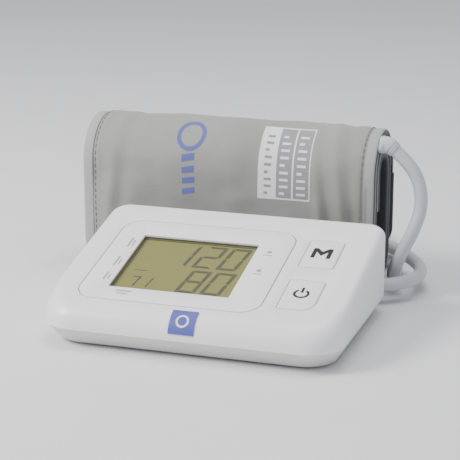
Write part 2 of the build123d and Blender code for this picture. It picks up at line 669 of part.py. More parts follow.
# metal bar at the strip's inner end, hung in a sewn tab inside the roll
BAR_R, BAR_W, BAR_H = 1.6, 126.0, 18.0
BAR_Y, BAR_Z = CY - R0, STRIP_START - 3.2
with BuildPart() as bar_tab:
    with BuildSketch(Plane(origin=(CX, BAR_Y, BAR_Z), x_dir=(0, 1, 0), z_dir=(1, 0, 0))):
        Circle(2.5)
        with Locations((0, 2.0)):
            Rectangle(2.0, 2.4)
        Circle(1.7, mode=Mode.SUBTRACT)
    extrude(amount=50.0, both=True)
bar_tab.part.label = "bar_tab"
export_step(bar_tab.part, "parts/bar_tab.step")

with BuildPart() as d_bar:
    hw = BAR_W / 2 - BAR_R
    with BuildLine() as bar_line:
        FilletPolyline((CX, BAR_Y, BAR_Z), (CX + hw, BAR_Y, BAR_Z), (CX + hw, BAR_Y, BAR_Z - BAR_H + 2 * BAR_R), (CX - hw, BAR_Y, BAR_Z - BAR_H + 2 * BAR_R), (CX - hw, BAR_Y, BAR_Z), (CX - 0.01, BAR_Y, BAR_Z), radius=4.5)
    with BuildSketch(Plane(origin=(CX, BAR_Y, BAR_Z), x_dir=(0, 1, 0), z_dir=(1, 0, 0))):
        Circle(BAR_R)
    sweep(path=bar_line.line)
d_bar.part.label = "d_bar"
export_step(d_bar.part, "parts/d_bar.step")

# ------------------------------------------------------- hose, port and plug
PORT_A = radians(33.0)        # round the top bend, from its crown towards the front
PORT_Y = CY - R2 * sin(PORT_A)
PORT_Z = ZT + R2 * cos(PORT_A)
PORT_X = CX + CW / 2 + 1.2
PORT_DIP = radians(40.0)      # the boot points outwards and down
JX = PORT_X + 4.3
EXIT = (JX + 4.0 * cos(PORT_DIP), PORT_Y, PORT_Z - 4.0 * sin(PORT_DIP))
with BuildPart() as hose_port:
    with BuildSketch(Plane(origin=(PORT_X, PORT_Y, PORT_Z), x_dir=(0, -sin(PORT_A), cos(PORT_A)), z_dir=(1, 0, 0))):
        rounded(4.4, 9.6, 2.1)
    with BuildSketch(Plane(origin=(PORT_X + 2.4, PORT_Y, PORT_Z), x_dir=(0, -sin(PORT_A), cos(PORT_A)), z_dir=(1, 0, 0))):
        rounded(8.4, 8.6, 4.1)
    loft()
    with BuildSketch(Plane(origin=(PORT_X + 2.4, PORT_Y, PORT_Z), x_dir=(0, 1, 0), z_dir=(1, 0, 0))):
        Circle(4.2)
    extrude(amount=JX - PORT_X - 2.4)
    with Locations((JX, PORT_Y, PORT_Z)):
        Sphere(4.2)
    with BuildSketch(Plane(origin=(JX, PORT_Y, PORT_Z), x_dir=(0, 1, 0), z_dir=(cos(PORT_DIP), 0, -sin(PORT_DIP)))):
        Circle(4.2)
    extrude(amount=4.0, taper=3)
hose_port.part.label = "hose_port"
export_step(hose_port.part, "parts/hose_port.step")

# elbow plug in the back socket, its outlet along +X
PLUG_Y = MY + D / 2 + 6.6
with BuildPart() as air_plug:
    with BuildSketch(Plane(origin=(SOCK_X, MY + D / 2 + 1.0, SOCK_Z), x_dir=(1, 0, 0), z_dir=(0, 1, 0))):
        Circle(4.6)
    extrude(amount=9.6)
    with BuildSketch(Plane(origin=(SOCK_X, PLUG_Y, SOCK_Z), x_dir=(0, 1, 0), z_dir=(1, 0, 0))):
        Circle(4.0)
    extrude(amount=8.0)
    with BuildSketch(Plane(origin=(SOCK_X, MY + D / 2 + 1.0, SOCK_Z), x_dir=(1, 0, 0), z_dir=(0, -1, 0))):
        Circle(2.0)
    extrude(amount=11.0)
air_plug.part.label = "air_plug"
export_step(air_plug.part, "parts/air_plug.step")

with BuildPart() as plug_seal:
    with BuildSketch(Plane(origin=(SOCK_X, MY + D / 2 - 5.0, SOCK_Z), x_dir=(1, 0, 0), z_dir=(0, -1, 0))):
        Circle(2.5)
        Circle(2.0, mode=Mode.SUBTRACT)
    extrude(amount=1.5)
plug_seal.part.label = "plug_seal"
export_step(plug_seal.part, "parts/plug_seal.step")

hose_pts = [
    EXIT,
    (EXIT[0] + 10.0 * cos(PORT_DIP), PORT_Y, EXIT[2] - 10.0 * sin(PORT_DIP)),
    (91.0, 46.0, 56.1),
    (92.3, 44.9, 44.8),
    (89.2, 41.6, 33.7),
    (83.9, 41.6, 23.1),
    (79.7, 46.5, 13.4),
    (76.8, 55.2, 6.4),
    (75.7, 66.3, 3.3),
    (74.3, 78.3, 3.3),
    (69.2, 89.4, 3.3),
    (62.8, 100.6, 3.3),
    (57.4, 113.0, 3.3),
    (55.9, 131.1, 3.3),
    (47.8, 147.1, 3.3),
    (33.0, 156.7, 3.3),
    (15.7, 157.7, 3.3),
    (0.6, 150.0, 3.3),
    (-8.6, 135.9, 3.3),
    (-9.4, 119.5, 3.3),
    (-2.1, 105.2, 3.3),
    (11.2, 96.6, 3.3),
    (26.7, 95.8, 3.3),
    (40.2, 102.7, 3.3),
    (48.3, 115.3, 3.3),
    (49.0, 129.8, 3.3),
    (42.4, 142.6, 3.3),
    (30.6, 150.1, 3.3),
    (17.0, 150.8, 3.3),
    (5.1, 144.6, 3.3),
    (-2.0, 133.6, 3.3),
    (-2.5, 120.8, 3.3),
    (3.2, 109.7, 3.3),
    (13.5, 103.2, 4.0),
    (26.0, 102.2, 6.4),
    (39.2, 101.4, 10.7),
    (51.4, 98.4, 11.6),
    (62.4, 92.4, 11.8),
    (72.4, 84.8, 11.4),
    (80.8, 76.4, 10.2),
    (89.0, 65.8, 8.9),
    (91.2, 52.4, 8.8),
    (89.2, 41.2, 8.9),
    (82.9, 32.5, 9.0),
    (SOCK_X + 18.7, PLUG_Y, SOCK_Z),
    (SOCK_X + 8.0, PLUG_Y, SOCK_Z),
]
vs = [Vector(*b) - Vector(*a) for a, b in zip(hose_pts, hose_pts[1:])]
hose_r = [0.45 * min(u.length, v.length) / tan(radians(u.get_angle(v)) / 2) for u, v in zip(vs, vs[1:])]
with BuildPart() as air_hose:
    with BuildLine() as hose_line:
        FilletPolyline(*hose_pts, radius=hose_r)
    with BuildSketch(Plane(origin=hose_pts[0], z_dir=vs[0].normalized())):
        Circle(HOSE_OD / 2)
    sweep(path=hose_line.line)
air_hose.part.label = "air_hose"
export_step(air_hose.part, "parts/air_hose.step")
hose_len = sum(e.length for e in hose_line.line.edges())
print("hose runs", [round(v.length, 1) for v in vs])
print("hose radii", [round(r, 1) for r in hose_r])
print("hose length", round(hose_len, 1), "volume", round(air_hose.part.volume, 1), "section x length", round(pi * HOSE_OD ** 2 / 4 * hose_len, 1))
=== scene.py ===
import json
import math

import bmesh
import bpy
import numpy as np
from mathutils import Matrix, Vector, noise


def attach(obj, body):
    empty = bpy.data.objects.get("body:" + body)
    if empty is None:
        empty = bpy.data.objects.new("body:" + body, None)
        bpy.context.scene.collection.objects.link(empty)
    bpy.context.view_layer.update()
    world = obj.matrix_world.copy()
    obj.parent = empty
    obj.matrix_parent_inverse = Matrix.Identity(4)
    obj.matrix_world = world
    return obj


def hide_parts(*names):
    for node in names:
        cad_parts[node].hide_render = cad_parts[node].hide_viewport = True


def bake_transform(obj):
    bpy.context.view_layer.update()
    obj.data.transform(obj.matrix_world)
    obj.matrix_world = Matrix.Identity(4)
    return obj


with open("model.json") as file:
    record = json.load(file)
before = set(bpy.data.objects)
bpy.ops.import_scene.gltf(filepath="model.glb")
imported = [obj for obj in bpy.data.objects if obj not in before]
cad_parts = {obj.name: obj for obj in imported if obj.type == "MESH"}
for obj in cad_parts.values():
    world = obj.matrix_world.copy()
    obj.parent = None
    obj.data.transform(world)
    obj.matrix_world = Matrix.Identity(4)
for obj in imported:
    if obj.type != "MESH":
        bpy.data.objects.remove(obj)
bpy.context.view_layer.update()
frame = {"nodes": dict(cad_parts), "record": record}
scene = bpy.context.scene
MM = 0.001

# ------------------------------------------------------------- dimensions, mm
MX, MY = 12.6, -29.0
W, D, HR, ZP, ZB = 138.0, 100.0, 43.0, 9.0, 1.2
SL = math.radians(14.0)
T = math.tan(SL)
ZC = HR - D / 2 * T
LIP_R = 11.4
CX, CY, CW = -5.4, 57.0, 150.0
R0, PITCH, ZT, ZBOT = 9.8, 5.0, 58.0, 19.5
R1, R2 = R0 + PITCH, R0 + 2 * PITCH
STRIP_START, FLAP_END = 41.0, 13.0
SOCK_X, SOCK_Z, PLUG_Y = MX + 42.0, 9.0, MY + D / 2 + 6.6
HOSE_D = 6.5
TX, TY, TN = Vector((1, 0, 0)), Vector((0, math.cos(SL), math.sin(SL))), Vector((0, -math.sin(SL), math.cos(SL)))
TO = Vector((MX, MY, ZC))


def tp(u, s, h=0.0):
    """A point on the sloped top face, millimetres."""
    return TO + TX * u + TY * s + TN * h


# --------------------------------------------------------------------- camera
cam_data = bpy.data.cameras.new("view_camera")
cam = bpy.data.objects.new("view_camera", cam_data)
scene.collection.objects.link(cam)
cam.location = (0.2245, -0.656, 0.2262)
target = Vector((0.006, 0.010, 0.0355))
cam.rotation_euler = (target - cam.location).to_track_quat("-Z", "Y").to_euler()
cam_data.lens = 118.0
cam_data.sensor_width = 36.0
cam_data.clip_start = 0.01
scene.camera = cam


# ------------------------------------------------------------------ materials
def mat(name, color, rough=0.45, metallic=0.0, bump=0.0, bump_scale=900.0, vary=0.04, vary_scale=40.0, rough_vary=0.06, coat=0.0, sheen=0.0, alpha=None, spec=None):
    """Moulded or painted surface: fine grain in the bump, slow change in colour and roughness."""
    m = bpy.data.materials.new(name)
    m.use_nodes = True
    nt = m.node_tree
    b = nt.nodes["Principled BSDF"]
    tc = nt.nodes.new("ShaderNodeTexCoord")
    n1 = nt.nodes.new("ShaderNodeTexNoise")
    n1.inputs["Scale"].default_value = vary_scale
    n1.inputs["Detail"].default_value = 4
    nt.links.new(tc.outputs["Object"], n1.inputs["Vector"])
    ramp = nt.nodes.new("ShaderNodeMapRange")
    ramp.inputs["From Min"].default_value = 0.3
    ramp.inputs["From Max"].default_value = 0.7
    ramp.inputs["To Min"].default_value = 1 - vary
    ramp.inputs["To Max"].default_value = 1 + vary
    nt.links.new(n1.outputs["Fac"], ramp.inputs["Value"])
    vm = nt.nodes.new("ShaderNodeVectorMath")
    vm.operation = "SCALE"
    vm.inputs[0].default_value = color[:3]
    nt.links.new(ramp.outputs["Result"], vm.inputs["Scale"])
    nt.links.new(vm.outputs["Vector"], b.inputs["Base Color"])
    r2 = nt.nodes.new("ShaderNodeMapRange")
    r2.inputs["From Min"].default_value = 0.3
    r2.inputs["From Max"].default_value = 0.7
    r2.inputs["To Min"].default_value = max(0.03, rough - rough_vary)
    r2.inputs["To Max"].default_value = min(1.0, rough + rough_vary)
    nt.links.new(n1.outputs["Fac"], r2.inputs["Value"])
    nt.links.new(r2.outputs["Result"], b.inputs["Roughness"])
    b.inputs["Metallic"].default_value = metallic
    if coat:
        b.inputs["Coat Weight"].default_value = coat
        b.inputs["Coat Roughness"].default_value = 0.12
    if sheen:
        b.inputs["Sheen Weight"].default_value = sheen
        b.inputs["Sheen Roughness"].default_value = 0.5
    if alpha is not None:
        b.inputs["Alpha"].default_value = alpha
    if spec is not None:
        b.inputs["Specular IOR Level"].default_value = spec
    if bump:
        n2 = nt.nodes.new("ShaderNodeTexNoise")
        n2.inputs["Scale"].default_value = bump_scale
        n2.inputs["Detail"].default_value = 3
        nt.links.new(tc.outputs["Object"], n2.inputs["Vector"])
        bp = nt.nodes.new("ShaderNodeBump")
        bp.inputs["Strength"].default_value = bump
        bp.inputs["Distance"].default_value = 0.0002
        nt.links.new(n2.outputs["Fac"], bp.inputs["Height"])
        nt.links.new(bp.outputs["Normal"], b.inputs["Normal"])
    return m


def weave(name, color, dark=0.72, threads=1400.0, rough=0.9, sheen=0.25, bump=0.5, vary=0.09, pile=False):
    """Woven cloth: crossed threads in colour and bump, or a nap when pile is set."""
    m = bpy.data.materials.new(name)
    m.use_nodes = True
    nt = m.node_tree
    b = nt.nodes["Principled BSDF"]
    tc = nt.nodes.new("ShaderNodeTexCoord")
    if pile:
        f = nt.nodes.new("ShaderNodeTexNoise")
        f.inputs["Scale"].default_value = threads
        f.inputs["Detail"].default_value = 5
        nt.links.new(tc.outputs["UV"], f.inputs["Vector"])
        height = f.outputs["Fac"]
    else:
        sep = nt.nodes.new("ShaderNodeSeparateXYZ")
        nt.links.new(tc.outputs["UV"], sep.inputs[0])

        def wavy(sock, phase):
            k = nt.nodes.new("ShaderNodeMath")
            k.operation = "MULTIPLY_ADD"
            k.inputs[1].default_value = threads
            k.inputs[2].default_value = phase
            nt.links.new(sock, k.inputs[0])
            s = nt.nodes.new("ShaderNodeMath")
            s.operation = "SINE"
            nt.links.new(k.outputs[0], s.inputs[0])
            return s.outputs[0]
        a, c = wavy(sep.outputs["X"], 0.0), wavy(sep.outputs["Y"], 0.0)
        mul = nt.nodes.new("ShaderNodeMath")
        mul.operation = "MULTIPLY"
        nt.links.new(a, mul.inputs[0])
        nt.links.new(c, mul.inputs[1])
        ad = nt.nodes.new("ShaderNodeMath")
        ad.operation = "MULTIPLY_ADD"
        ad.inputs[1].default_value = 0.5
        ad.inputs[2].default_value = 0.5
        nt.links.new(mul.outputs[0], ad.inputs[0])
        height = ad.outputs[0]
    n1 = nt.nodes.new("ShaderNodeTexNoise")
    n1.inputs["Scale"].default_value = 22.0
    n1.inputs["Detail"].default_value = 6
    nt.links.new(tc.outputs["Object"], n1.inputs["Vector"])
    mr = nt.nodes.new("ShaderNodeMapRange")
    mr.inputs["From Min"].default_value = 0.3
    mr.inputs["From Max"].default_value = 0.7
    mr.inputs["To Min"].default_value = 1 - vary
    mr.inputs["To Max"].default_value = 1 + vary
    nt.links.new(n1.outputs["Fac"], mr.inputs["Value"])
    th = nt.nodes.new("ShaderNodeMapRange")
    th.inputs["To Min"].default_value = dark
    th.inputs["To Max"].default_value = 1.0
    nt.links.new(height, th.inputs["Value"])
    both = nt.nodes.new("ShaderNodeMath")
    both.operation = "MULTIPLY"
    nt.links.new(mr.outputs["Result"], both.inputs[0])
    nt.links.new(th.outputs["Result"], both.inputs[1])
    vm = nt.nodes.new("ShaderNodeVectorMath")
    vm.operation = "SCALE"
    vm.inputs[0].default_value = color[:3]
    nt.links.new(both.outputs[0], vm.inputs["Scale"])
    nt.links.new(vm.outputs["Vector"], b.inputs["Base Color"])
    b.inputs["Roughness"].default_value = rough
    b.inputs["Sheen Weight"].default_value = sheen
    b.inputs["Sheen Roughness"].default_value = 0.45
    b.inputs["Specular IOR Level"].default_value = 0.25
    bp = nt.nodes.new("ShaderNodeBump")
    bp.inputs["Strength"].default_value = bump
    bp.inputs["Distance"].default_value = 0.00025
    nt.links.new(height, bp.inputs["Height"])
    nt.links.new(bp.outputs["Normal"], b.inputs["Normal"])
    return m


def lin(r, g, b):
    f = lambda c: ((c / 255 + 0.055) / 1.055) ** 2.4 if c > 10.3 else c / 255 / 12.92
    return (f(r), f(g), f(b), 1)


M = {
    "case": mat("shell_white", lin(238, 237, 240), 0.34, bump=0.10, bump_scale=1500, vary=0.012, rough_vary=0.04),
    # case_side: the shell white made darker and warmer for the lower housing, painted shade for its downward-facing
    # sides
    "case_side": mat("shell_white_lower_shaded", lin(216, 214, 213), 0.38, bump=0.12, bump_scale=1500, vary=0.015, rough_vary=0.04),
    "panel": mat("panel_white", lin(241, 240, 242), 0.24, bump=0.03, bump_scale=700, vary=0.008, rough_vary=0.03),
    "lens": mat("window_clear", lin(225, 230, 215), 0.06, bump=0.0, vary=0.01, rough_vary=0.02, alpha=0.045),
    "screen": mat("screen_olive", lin(120, 115, 44), 0.5, bump=0.04, bump_scale=2500, vary=0.03, vary_scale=25, spec=0.15),
    "key": mat("key_white", lin(239, 238, 240), 0.30, bump=0.06, bump_scale=1500, vary=0.01),
    "badge": mat("badge_blue", lin(84, 94, 168), 0.30, bump=0.03, vary=0.05, vary_scale=120, coat=0.4),
    "rubber": mat("foot_rubber", (0.03, 0.03, 0.03, 1), 0.8, bump=0.3, bump_scale=1800),
    "pad": mat("silicone_grey", lin(150, 150, 152), 0.6, bump=0.15),
    "board": mat("solder_mask", (0.02, 0.14, 0.05, 1), 0.35, bump=0.1, bump_scale=500, vary=0.1),
    "chip": mat("black_moulding", (0.025, 0.025, 0.025, 1), 0.45, bump=0.2),
    "steel": mat("brushed_screws", (0.56, 0.56, 0.56, 1), 0.32, metallic=1.0, bump=0.15, bump_scale=1300),
    "nickel": mat("nickel_wire", (0.70, 0.69, 0.67, 1), 0.18, metallic=1.0, bump=0.06, bump_scale=600),
    "cell": mat("cell_sleeve", (0.035, 0.036, 0.04, 1), 0.28, bump=0.05, coat=0.3),
    "moulding": mat("natural_moulding", lin(205, 203, 196), 0.5, bump=0.15),
    "fabric": weave("cuff_nylon", lin(158, 158, 155), dark=0.74, threads=4600.0, bump=0.45, vary=0.10),
    "lining": weave("cuff_lining_cloth", lin(58, 58, 62), dark=0.7, threads=2600.0, bump=0.5),
    "tape": weave("binding_tape", lin(176, 176, 176), dark=0.78, threads=6200.0, bump=0.5, vary=0.05),
    # edge_tape: dark grey for the rolled edges of the binding, painted shade for the shaded end faces of the roll, in
    # the lining's dark grey
    "edge_tape": weave("edge_tape", lin(72, 72, 74), dark=0.7, threads=6200.0, bump=0.5, vary=0.06),
    "bladder": mat("bladder_sheet", lin(160, 162, 168), 0.5, bump=0.2),
    "loops": weave("loop_pile", lin(124, 125, 126), dark=0.6, threads=1500.0, bump=0.9, pile=True),
    "hooks": weave("hook_tape", lin(92, 92, 96), dark=0.5, threads=4200.0, bump=0.9),
    "hose": mat("hose_grey", lin(192, 194, 201), 0.42, bump=0.12, bump_scale=420, vary=0.03, vary_scale=30),
    "print_grey": mat("print_grey", lin(150, 152, 158), 0.4, vary=0.02),
    "print_black": mat("print_black", lin(22, 22, 24), 0.4, vary=0.04),
    "segment": mat("segment_dark", lin(48, 46, 22), 0.5, vary=0.04, spec=0.15),
    "label_white": weave("label_white", lin(232, 232, 233), dark=0.93, threads=5200.0, bump=0.25, vary=0.03),
    "label_grey": weave("label_grey", lin(150, 150, 152), dark=0.86, threads=5200.0, bump=0.25, vary=0.04),
    "label_blue": weave("label_blue", lin(98, 106, 168), dark=0.85, threads=5200.0, bump=0.25, vary=0.05),
    "stitch": mat("stitch_thread", lin(122, 122, 124), 0.8, bump=0.3, vary=0.06),
    # groove: grey for the ring in the panel groove, painted shade in the gap between panel and shell
    "groove": mat("groove_painted_shade", lin(120, 121, 124), 0.6, vary=0.03),
}

for row in frame["record"]["subparts"]:
    ob = frame["nodes"].get(row["node"])
    ob = bpy.data.objects.get(row["node"]) if ob is None or isinstance(ob, (dict, str)) else ob
    if ob is None:
        continue
    for k in range(max(1, len(ob.material_slots))):
        if len(ob.material_slots) == 0:
            ob.data.materials.append(M[row["material_slot"]])
        else:
            ob.material_slots[k].material = M[row["material_slot"]]


# -------------------------------------------------------------------- helpers
def new_mesh(name, verts, faces, material, smooth=True, scale=MM):
    me = bpy.data.meshes.new(name)
    me.from_pydata([tuple(Vector(v) * scale) for v in verts], [], faces)
    me.validate()
    me.update()
    ob = bpy.data.objects.new(name, me)
    scene.collection.objects.link(ob)
    for mm_ in (material if isinstance(material, (list, tuple)) else [material]):
        me.materials.append(mm_)
    if smooth:
        me.polygons.foreach_set("use_smooth", [True] * len(me.polygons))
    return ob


def fix_normals(ob):
    bm = bmesh.new()
    bm.from_mesh(ob.data)
    bmesh.ops.recalc_face_normals(bm, faces=bm.faces)
    bm.to_mesh(ob.data)
    bm.free()


def apply_mods(ob):
    dg = bpy.context.evaluated_depsgraph_get()
    me = bpy.data.meshes.new_from_object(ob.evaluated_get(dg))
    old = ob.data
    ob.modifiers.clear()
    ob.data = me
    bpy.data.meshes.remove(old)


def sharp_by_angle(ob, deg=35):
    bm = bmesh.new()
    bm.from_mesh(ob.data)
    lim = math.radians(deg)
    for e in bm.edges:
        if len(e.link_faces) == 2:
            e.smooth = e.calc_face_angle(0) < lim
    bm.to_mesh(ob.data)
    bm.free()
    ob.data.polygons.foreach_set("use_smooth", [True] * len(ob.data.polygons))


def rrect(w, h, r, n=8):
    """Rounded rectangle, counter-clockwise; r is one radius or four from the lower left."""
    r = [r] * 4 if not hasattr(r, "__len__") else r
    pts = []
    for (sx, sy, a0), q in zip(((-1, -1, 180), (1, -1, 270), (1, 1, 0), (-1, 1, 90)), r):
        cx, cy = sx * (w / 2 - q), sy * (h / 2 - q)
        for k in range(n + 1):
            a = math.radians(a0 + 90.0 * k / n)
            pts.append((cx + q * math.cos(a), cy + q * math.sin(a)))
    return pts


def stack(name, rings, material, place=lambda u, v, h: (u, v, h), cap0=True, cap1=True, smooth=True):
    """Closed loft of equal-length rings [(u, v, h), ...]."""
    n = len(rings[0])
    verts = [place(*p) for ring in rings for p in ring]
    faces = []
    for i in range(len(rings) - 1):
        for k in range(n):
            a, b = i * n + k, i * n + (k + 1) % n
            faces.append((a, b, b + n, a + n))
    if cap0:
        faces.append(tuple(reversed(range(n))))
    if cap1:
        faces.append(tuple(range((len(rings) - 1) * n, len(rings) * n)))
    ob = new_mesh(name, verts, faces, material, smooth)
    fix_normals(ob)
    return ob


def inset_ring(w, h, r, d, n=8):
    rr = [max(q - d, 0.15) for q in (r if hasattr(r, "__len__") else [r] * 4)]
    return rrect(w - 2 * d, h - 2 * d, rr, n)


def plate(name, w, h, r, z0, z1, edge, cu, cs, material, crown=0.0, n=8, steps=4):
    """Plate on the sloped face with a rounded top edge and an optional crown."""
    rings = [[(cu + x, cs + y, z0) for x, y in inset_ring(w, h, r, 0, n)]]
    for k in range(steps + 1):
        a = math.pi / 2 * k / steps
        rings.append([(cu + x, cs + y, z1 - edge + edge * math.sin(a)) for x, y in inset_ring(w, h, r, edge * (1 - math.cos(a)), n)])
    if crown:
        for f in (0.35, 0.6, 0.8, 0.93):
            q = inset_ring(w, h, r, edge, n)
            rings.append([(cu + x * (1 - f), cs + y * (1 - f), z1 + crown * (1 - (1 - f) ** 2)) for x, y in q])
    return stack(name, rings, material, lambda u, v, h_: tp(u, v, h_))


def cutter(name, w, h, r, cu, cs, z0, z1, n=8):
    ring = rrect(w, h, r, n)
    return stack(name, [[(cu + x, cs + y, z) for x, y in ring] for z in (z0, z1)], M["case"], lambda u, v, h_: tp(u, v, h_), smooth=False)


def carve(ob, cutters, op="DIFFERENCE"):
    for c in cutters:
        md = ob.modifiers.new("carve", "BOOLEAN")
        md.operation = op
        md.solver = "EXACT"
        md.object = c
        apply_mods(ob)
        bpy.data.objects.remove(c)


# ------------------------------------------------------------- monitor shell
def plan(inset, n=10):
    """Plan outline of the shell as a list of points."""
    w, h = W - 2 * inset, D - 2 * inset
    front, rear = 16.0, 9.0
    q = rrect(w, h, [max(front - inset, 1), max(front - inset, 1), max(rear - inset, 1), max(rear - inset, 1)], n)
    # points along the straight sides, so the edge radius can change smoothly
    out = []
    for k in range(len(q)):
        a, b = Vector(q[k]), Vector(q[(k + 1) % len(q)])
        m_ = max(1, int((b - a).length / 6))
        out += [a.lerp(b, i / m_) for i in range(m_)]
    return out


def edge_radius(p):
    """Round over the front lip, tighter along the sides and the back."""
    f = min(1.0, max(0.0, (p.y + D / 2 - 3.0) / 26.0))
    f = f * f * (3 - 2 * f)
    return 11.0 * (1 - f) + 3.6 * f


def shell(name, inset, material):
    base = plan(0)
    n = len(base)
    nrm = []
    for k in range(n):
        t = (base[(k + 1) % n] - base[k - 1]).normalized()
        nrm.append(Vector((t.y, -t.x)))
    rad_ = [edge_radius(p) - inset for p in base]
    lean = [math.atan(-T * q.y) for q in nrm]

    def at(k, d, drop):
        p = base[k] - nrm[k] * (inset + d)
        return (p.x, p.y, ZC + p.y * T - inset / math.cos(SL) - drop)

    def drop(k, a):
        return rad_[k] * (1 / math.cos(lean[k]) - math.sin(a) - math.tan(lean[k]) * math.cos(a))
    walls = [at(k, 0, drop(k, 0)) for k in range(n)]
    z0 = ZP - (0.5 if inset else 0)
    rings = [[(x, y, z0 + f * (z - z0)) for x, y, z in walls] for f in (0.0, 0.3, 0.7)]
    for i in range(13):
        rings.append([at(k, rad_[k] * (1 - math.cos((math.pi / 2 - lean[k]) * i / 12)), drop(k, (math.pi / 2 - lean[k]) * i / 12)) for k in range(n)])
    rings.append([at(k, rad_[k] * (1 - math.cos(math.pi / 2 - lean[k])) + 2.0, 0) for k in range(n)])
    return stack(name, rings, material, lambda u, v, h: (MX + u, MY + v, h))


upper = shell("monitor_top_shell", 0.0, M["case"])
inner = shell("cut_inner", 2.2, M["case"])
PAN = (86.0, 72.0, 9.5, -12.5, -3.0)
LCD = (57.0, 48.0, -14.0, -4.5)
KW, KH, KX, KM, KP = 16.2, 24.6, 45.5, 15.8, -20.3
carve(upper, [
    inner,
    cutter("cut_panel", PAN[0] + 0.9, PAN[1] + 0.9, PAN[2] + 0.45, PAN[3], PAN[4], -1.0, 6.0),
    cutter("cut_lcd", 66.0, 57.0, 1.5, LCD[2], LCD[3], -6.0, 2.0),
    cutter("cut_m", KW + 0.8, KH + 0.8, 1.9, KX, KM, -6.0, 6.0),
    cutter("cut_p", KW + 0.8, KH + 0.8, [1.9, 6.9, 1.9, 1.9], KX, KP, -6.0, 6.0),
])
socket_cut = stack("cut_socket", [[(SOCK_X + x, MY + D / 2 + yy, 9.0 + z) for x, z in rrect(9.6, 10.4, 1.2)] for yy in (-8.0, 2.0)], M["case"], smooth=False)
carve(upper, [socket_cut])
bv = upper.modifiers.new("bevel", "BEVEL")
bv.width = 0.00028
bv.segments = 2
bv.limit_method = "ANGLE"
bv.angle_limit = math.radians(50)
apply_mods(upper)
sharp_by_angle(upper, 40)
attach(upper, "monitor")
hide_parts("upper_housing")

# panel with its screen opening
panel = plate("face_panel", PAN[0], PAN[1], PAN[2], -1.0, 0.12, 0.35, PAN[3], PAN[4], M["panel"], n=12)
carve(panel, [cutter("cut_open", LCD[0], LCD[1], 0.6, LCD[2], LCD[3], -4.0, 4.0)])
bv = panel.modifiers.new("bevel", "BEVEL")
bv.width = 0.0001
bv.segments = 2
bv.limit_method = "ANGLE"
bv.angle_limit = math.radians(60)
apply_mods(panel)
sharp_by_angle(panel, 40)
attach(panel, "monitor")
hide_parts("display_panel")


def flat_shape(name, polys, h0, h1, material, body="monitor", place=None):
    """Thin raised marks from outlines [(u, s), ...] on the sloped face."""
    verts, faces = [], []
    for poly in polys:
        n, o = len(poly), len(verts)
        verts += [tp(u, s, h0) if place is None else place(u, s, h0) for u, s in poly]
        verts += [tp(u, s, h1) if place is None else place(u, s, h1) for u, s in poly]
        faces += [tuple(o + k for k in reversed(range(n))), tuple(o + n + k for k in range(n))]
        faces += [(o + k, o + (k + 1) % n, o + n + (k + 1) % n, o + n + k) for k in range(n)]
    ob = new_mesh(name, verts, faces, material, smooth=False)
    fix_normals(ob)
    if body:
        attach(ob, body)
    return ob


def bar(cu, cs, w, h, r=0.2):
    return [(cu + x, cs + y) for x, y in rrect(w, h, min(r, w / 2.01, h / 2.01), 3)]


# seven-segment figures on the screen
SEG = {"0": "abcdef", "1": "bc", "2": "abged", "7": "abc", "8": "abcdefg"}


def digit(ch, cu, cs, w, h, t):
    """Mitred segments with a fine gap, leaning to the right."""
    hw, hh, q, g = w / 2, h / 2, t / 2, 0.07 * t
    a = [(-hw + 2 * g, hh), (hw - 2 * g, hh), (hw - t - 2 * g, hh - t), (-hw + t + 2 * g, hh - t)]
    f = [(-hw, hh - 2 * g), (-hw, q * 0.6), (-hw + q, g), (-hw + t, q + g), (-hw + t, hh - t - 2 * g)]
    mid = [(-hw + q + 2 * g, 0), (-hw + t + 2 * g, q), (hw - t - 2 * g, q), (hw - q - 2 * g, 0), (hw - t - 2 * g, -q), (-hw + t + 2 * g, -q)]
    flip_x = lambda p: [(-x, y) for x, y in p]
    flip_y = lambda p: [(x, -y) for x, y in p]
    shapes = {"a": a, "d": flip_y(a), "f": f, "b": flip_x(f), "e": flip_y(f), "c": flip_x(flip_y(f)), "g": mid}
    return [[(cu + x + 0.14 * y, cs + y) for x, y in shapes[s]] for s in SEG[ch]]


figs = []
for ch, u in (("1", -4.6), ("2", 8.0), ("0", 19.8)):
    figs += digit(ch, LCD[2] + u, LCD[3] + 11.9, 9.6, 20.0, 1.75)
for ch, u in (("8", 7.4), ("0", 19.2)):
    figs += digit(ch, LCD[2] + u, LCD[3] - 10.4, 9.6, 19.6, 1.75)
for ch, u in (("7", -20.6), ("1", -14.4)):
    figs += digit(ch, LCD[2] + u, LCD[3] - 14.6, 4.8, 9.2, 0.9)
figs += [bar(LCD[2] - 20.4, LCD[3] - 4.6, 6.4, 0.55)]
digits = flat_shape("screen_figures", figs, -2.1, -2.03, M["segment"])
# dark bars along the top and left edges of the screen, in the figure colour: painted shade under the rim of the opening
rim_shade_bars = [
    bar(LCD[2], LCD[3] + LCD[1] / 2 - 0.55, LCD[0] - 0.6, 0.7, 0.1),
    bar(LCD[2] - LCD[0] / 2 + 0.55, LCD[3], 0.7, LCD[1] - 0.6, 0.1),
]
edge = flat_shape("screen_rim_shade", rim_shade_bars, -2.1, -2.04, M["segment"])

# generic print beside the screen: plain bars in place of words
bars = []
PX0 = PAN[3] - PAN[0] / 2
for cs, ln in ((11.5, 9.0), (-6.5, 9.0), (-20.0, 7.0)):
    bars += [bar(LCD[2] - LCD[0] / 2 - 4.4, cs, 0.9, ln), bar(LCD[2] - LCD[0] / 2 - 2.6, cs - 0.6, 0.7, ln * 0.6)]
bars += [bar(LCD[2] - 20.0, LCD[3] - LCD[1] / 2 - 3.0, 8.0, 1.0), bar(LCD[2] - 20.0, LCD[3] - LCD[1] / 2 - 5.2, 5.4, 0.8)]
for cs in (13.5, -3.5):
    bars += [bar(LCD[2] + LCD[0] / 2 + 6.6, cs, 2.4, 2.4, 1.19), bar(LCD[2] + LCD[0] / 2 + 6.6, cs - 3.0, 4.6, 0.6)]
prints = flat_shape("panel_print", bars, 0.08, 0.15, M["print_grey"])
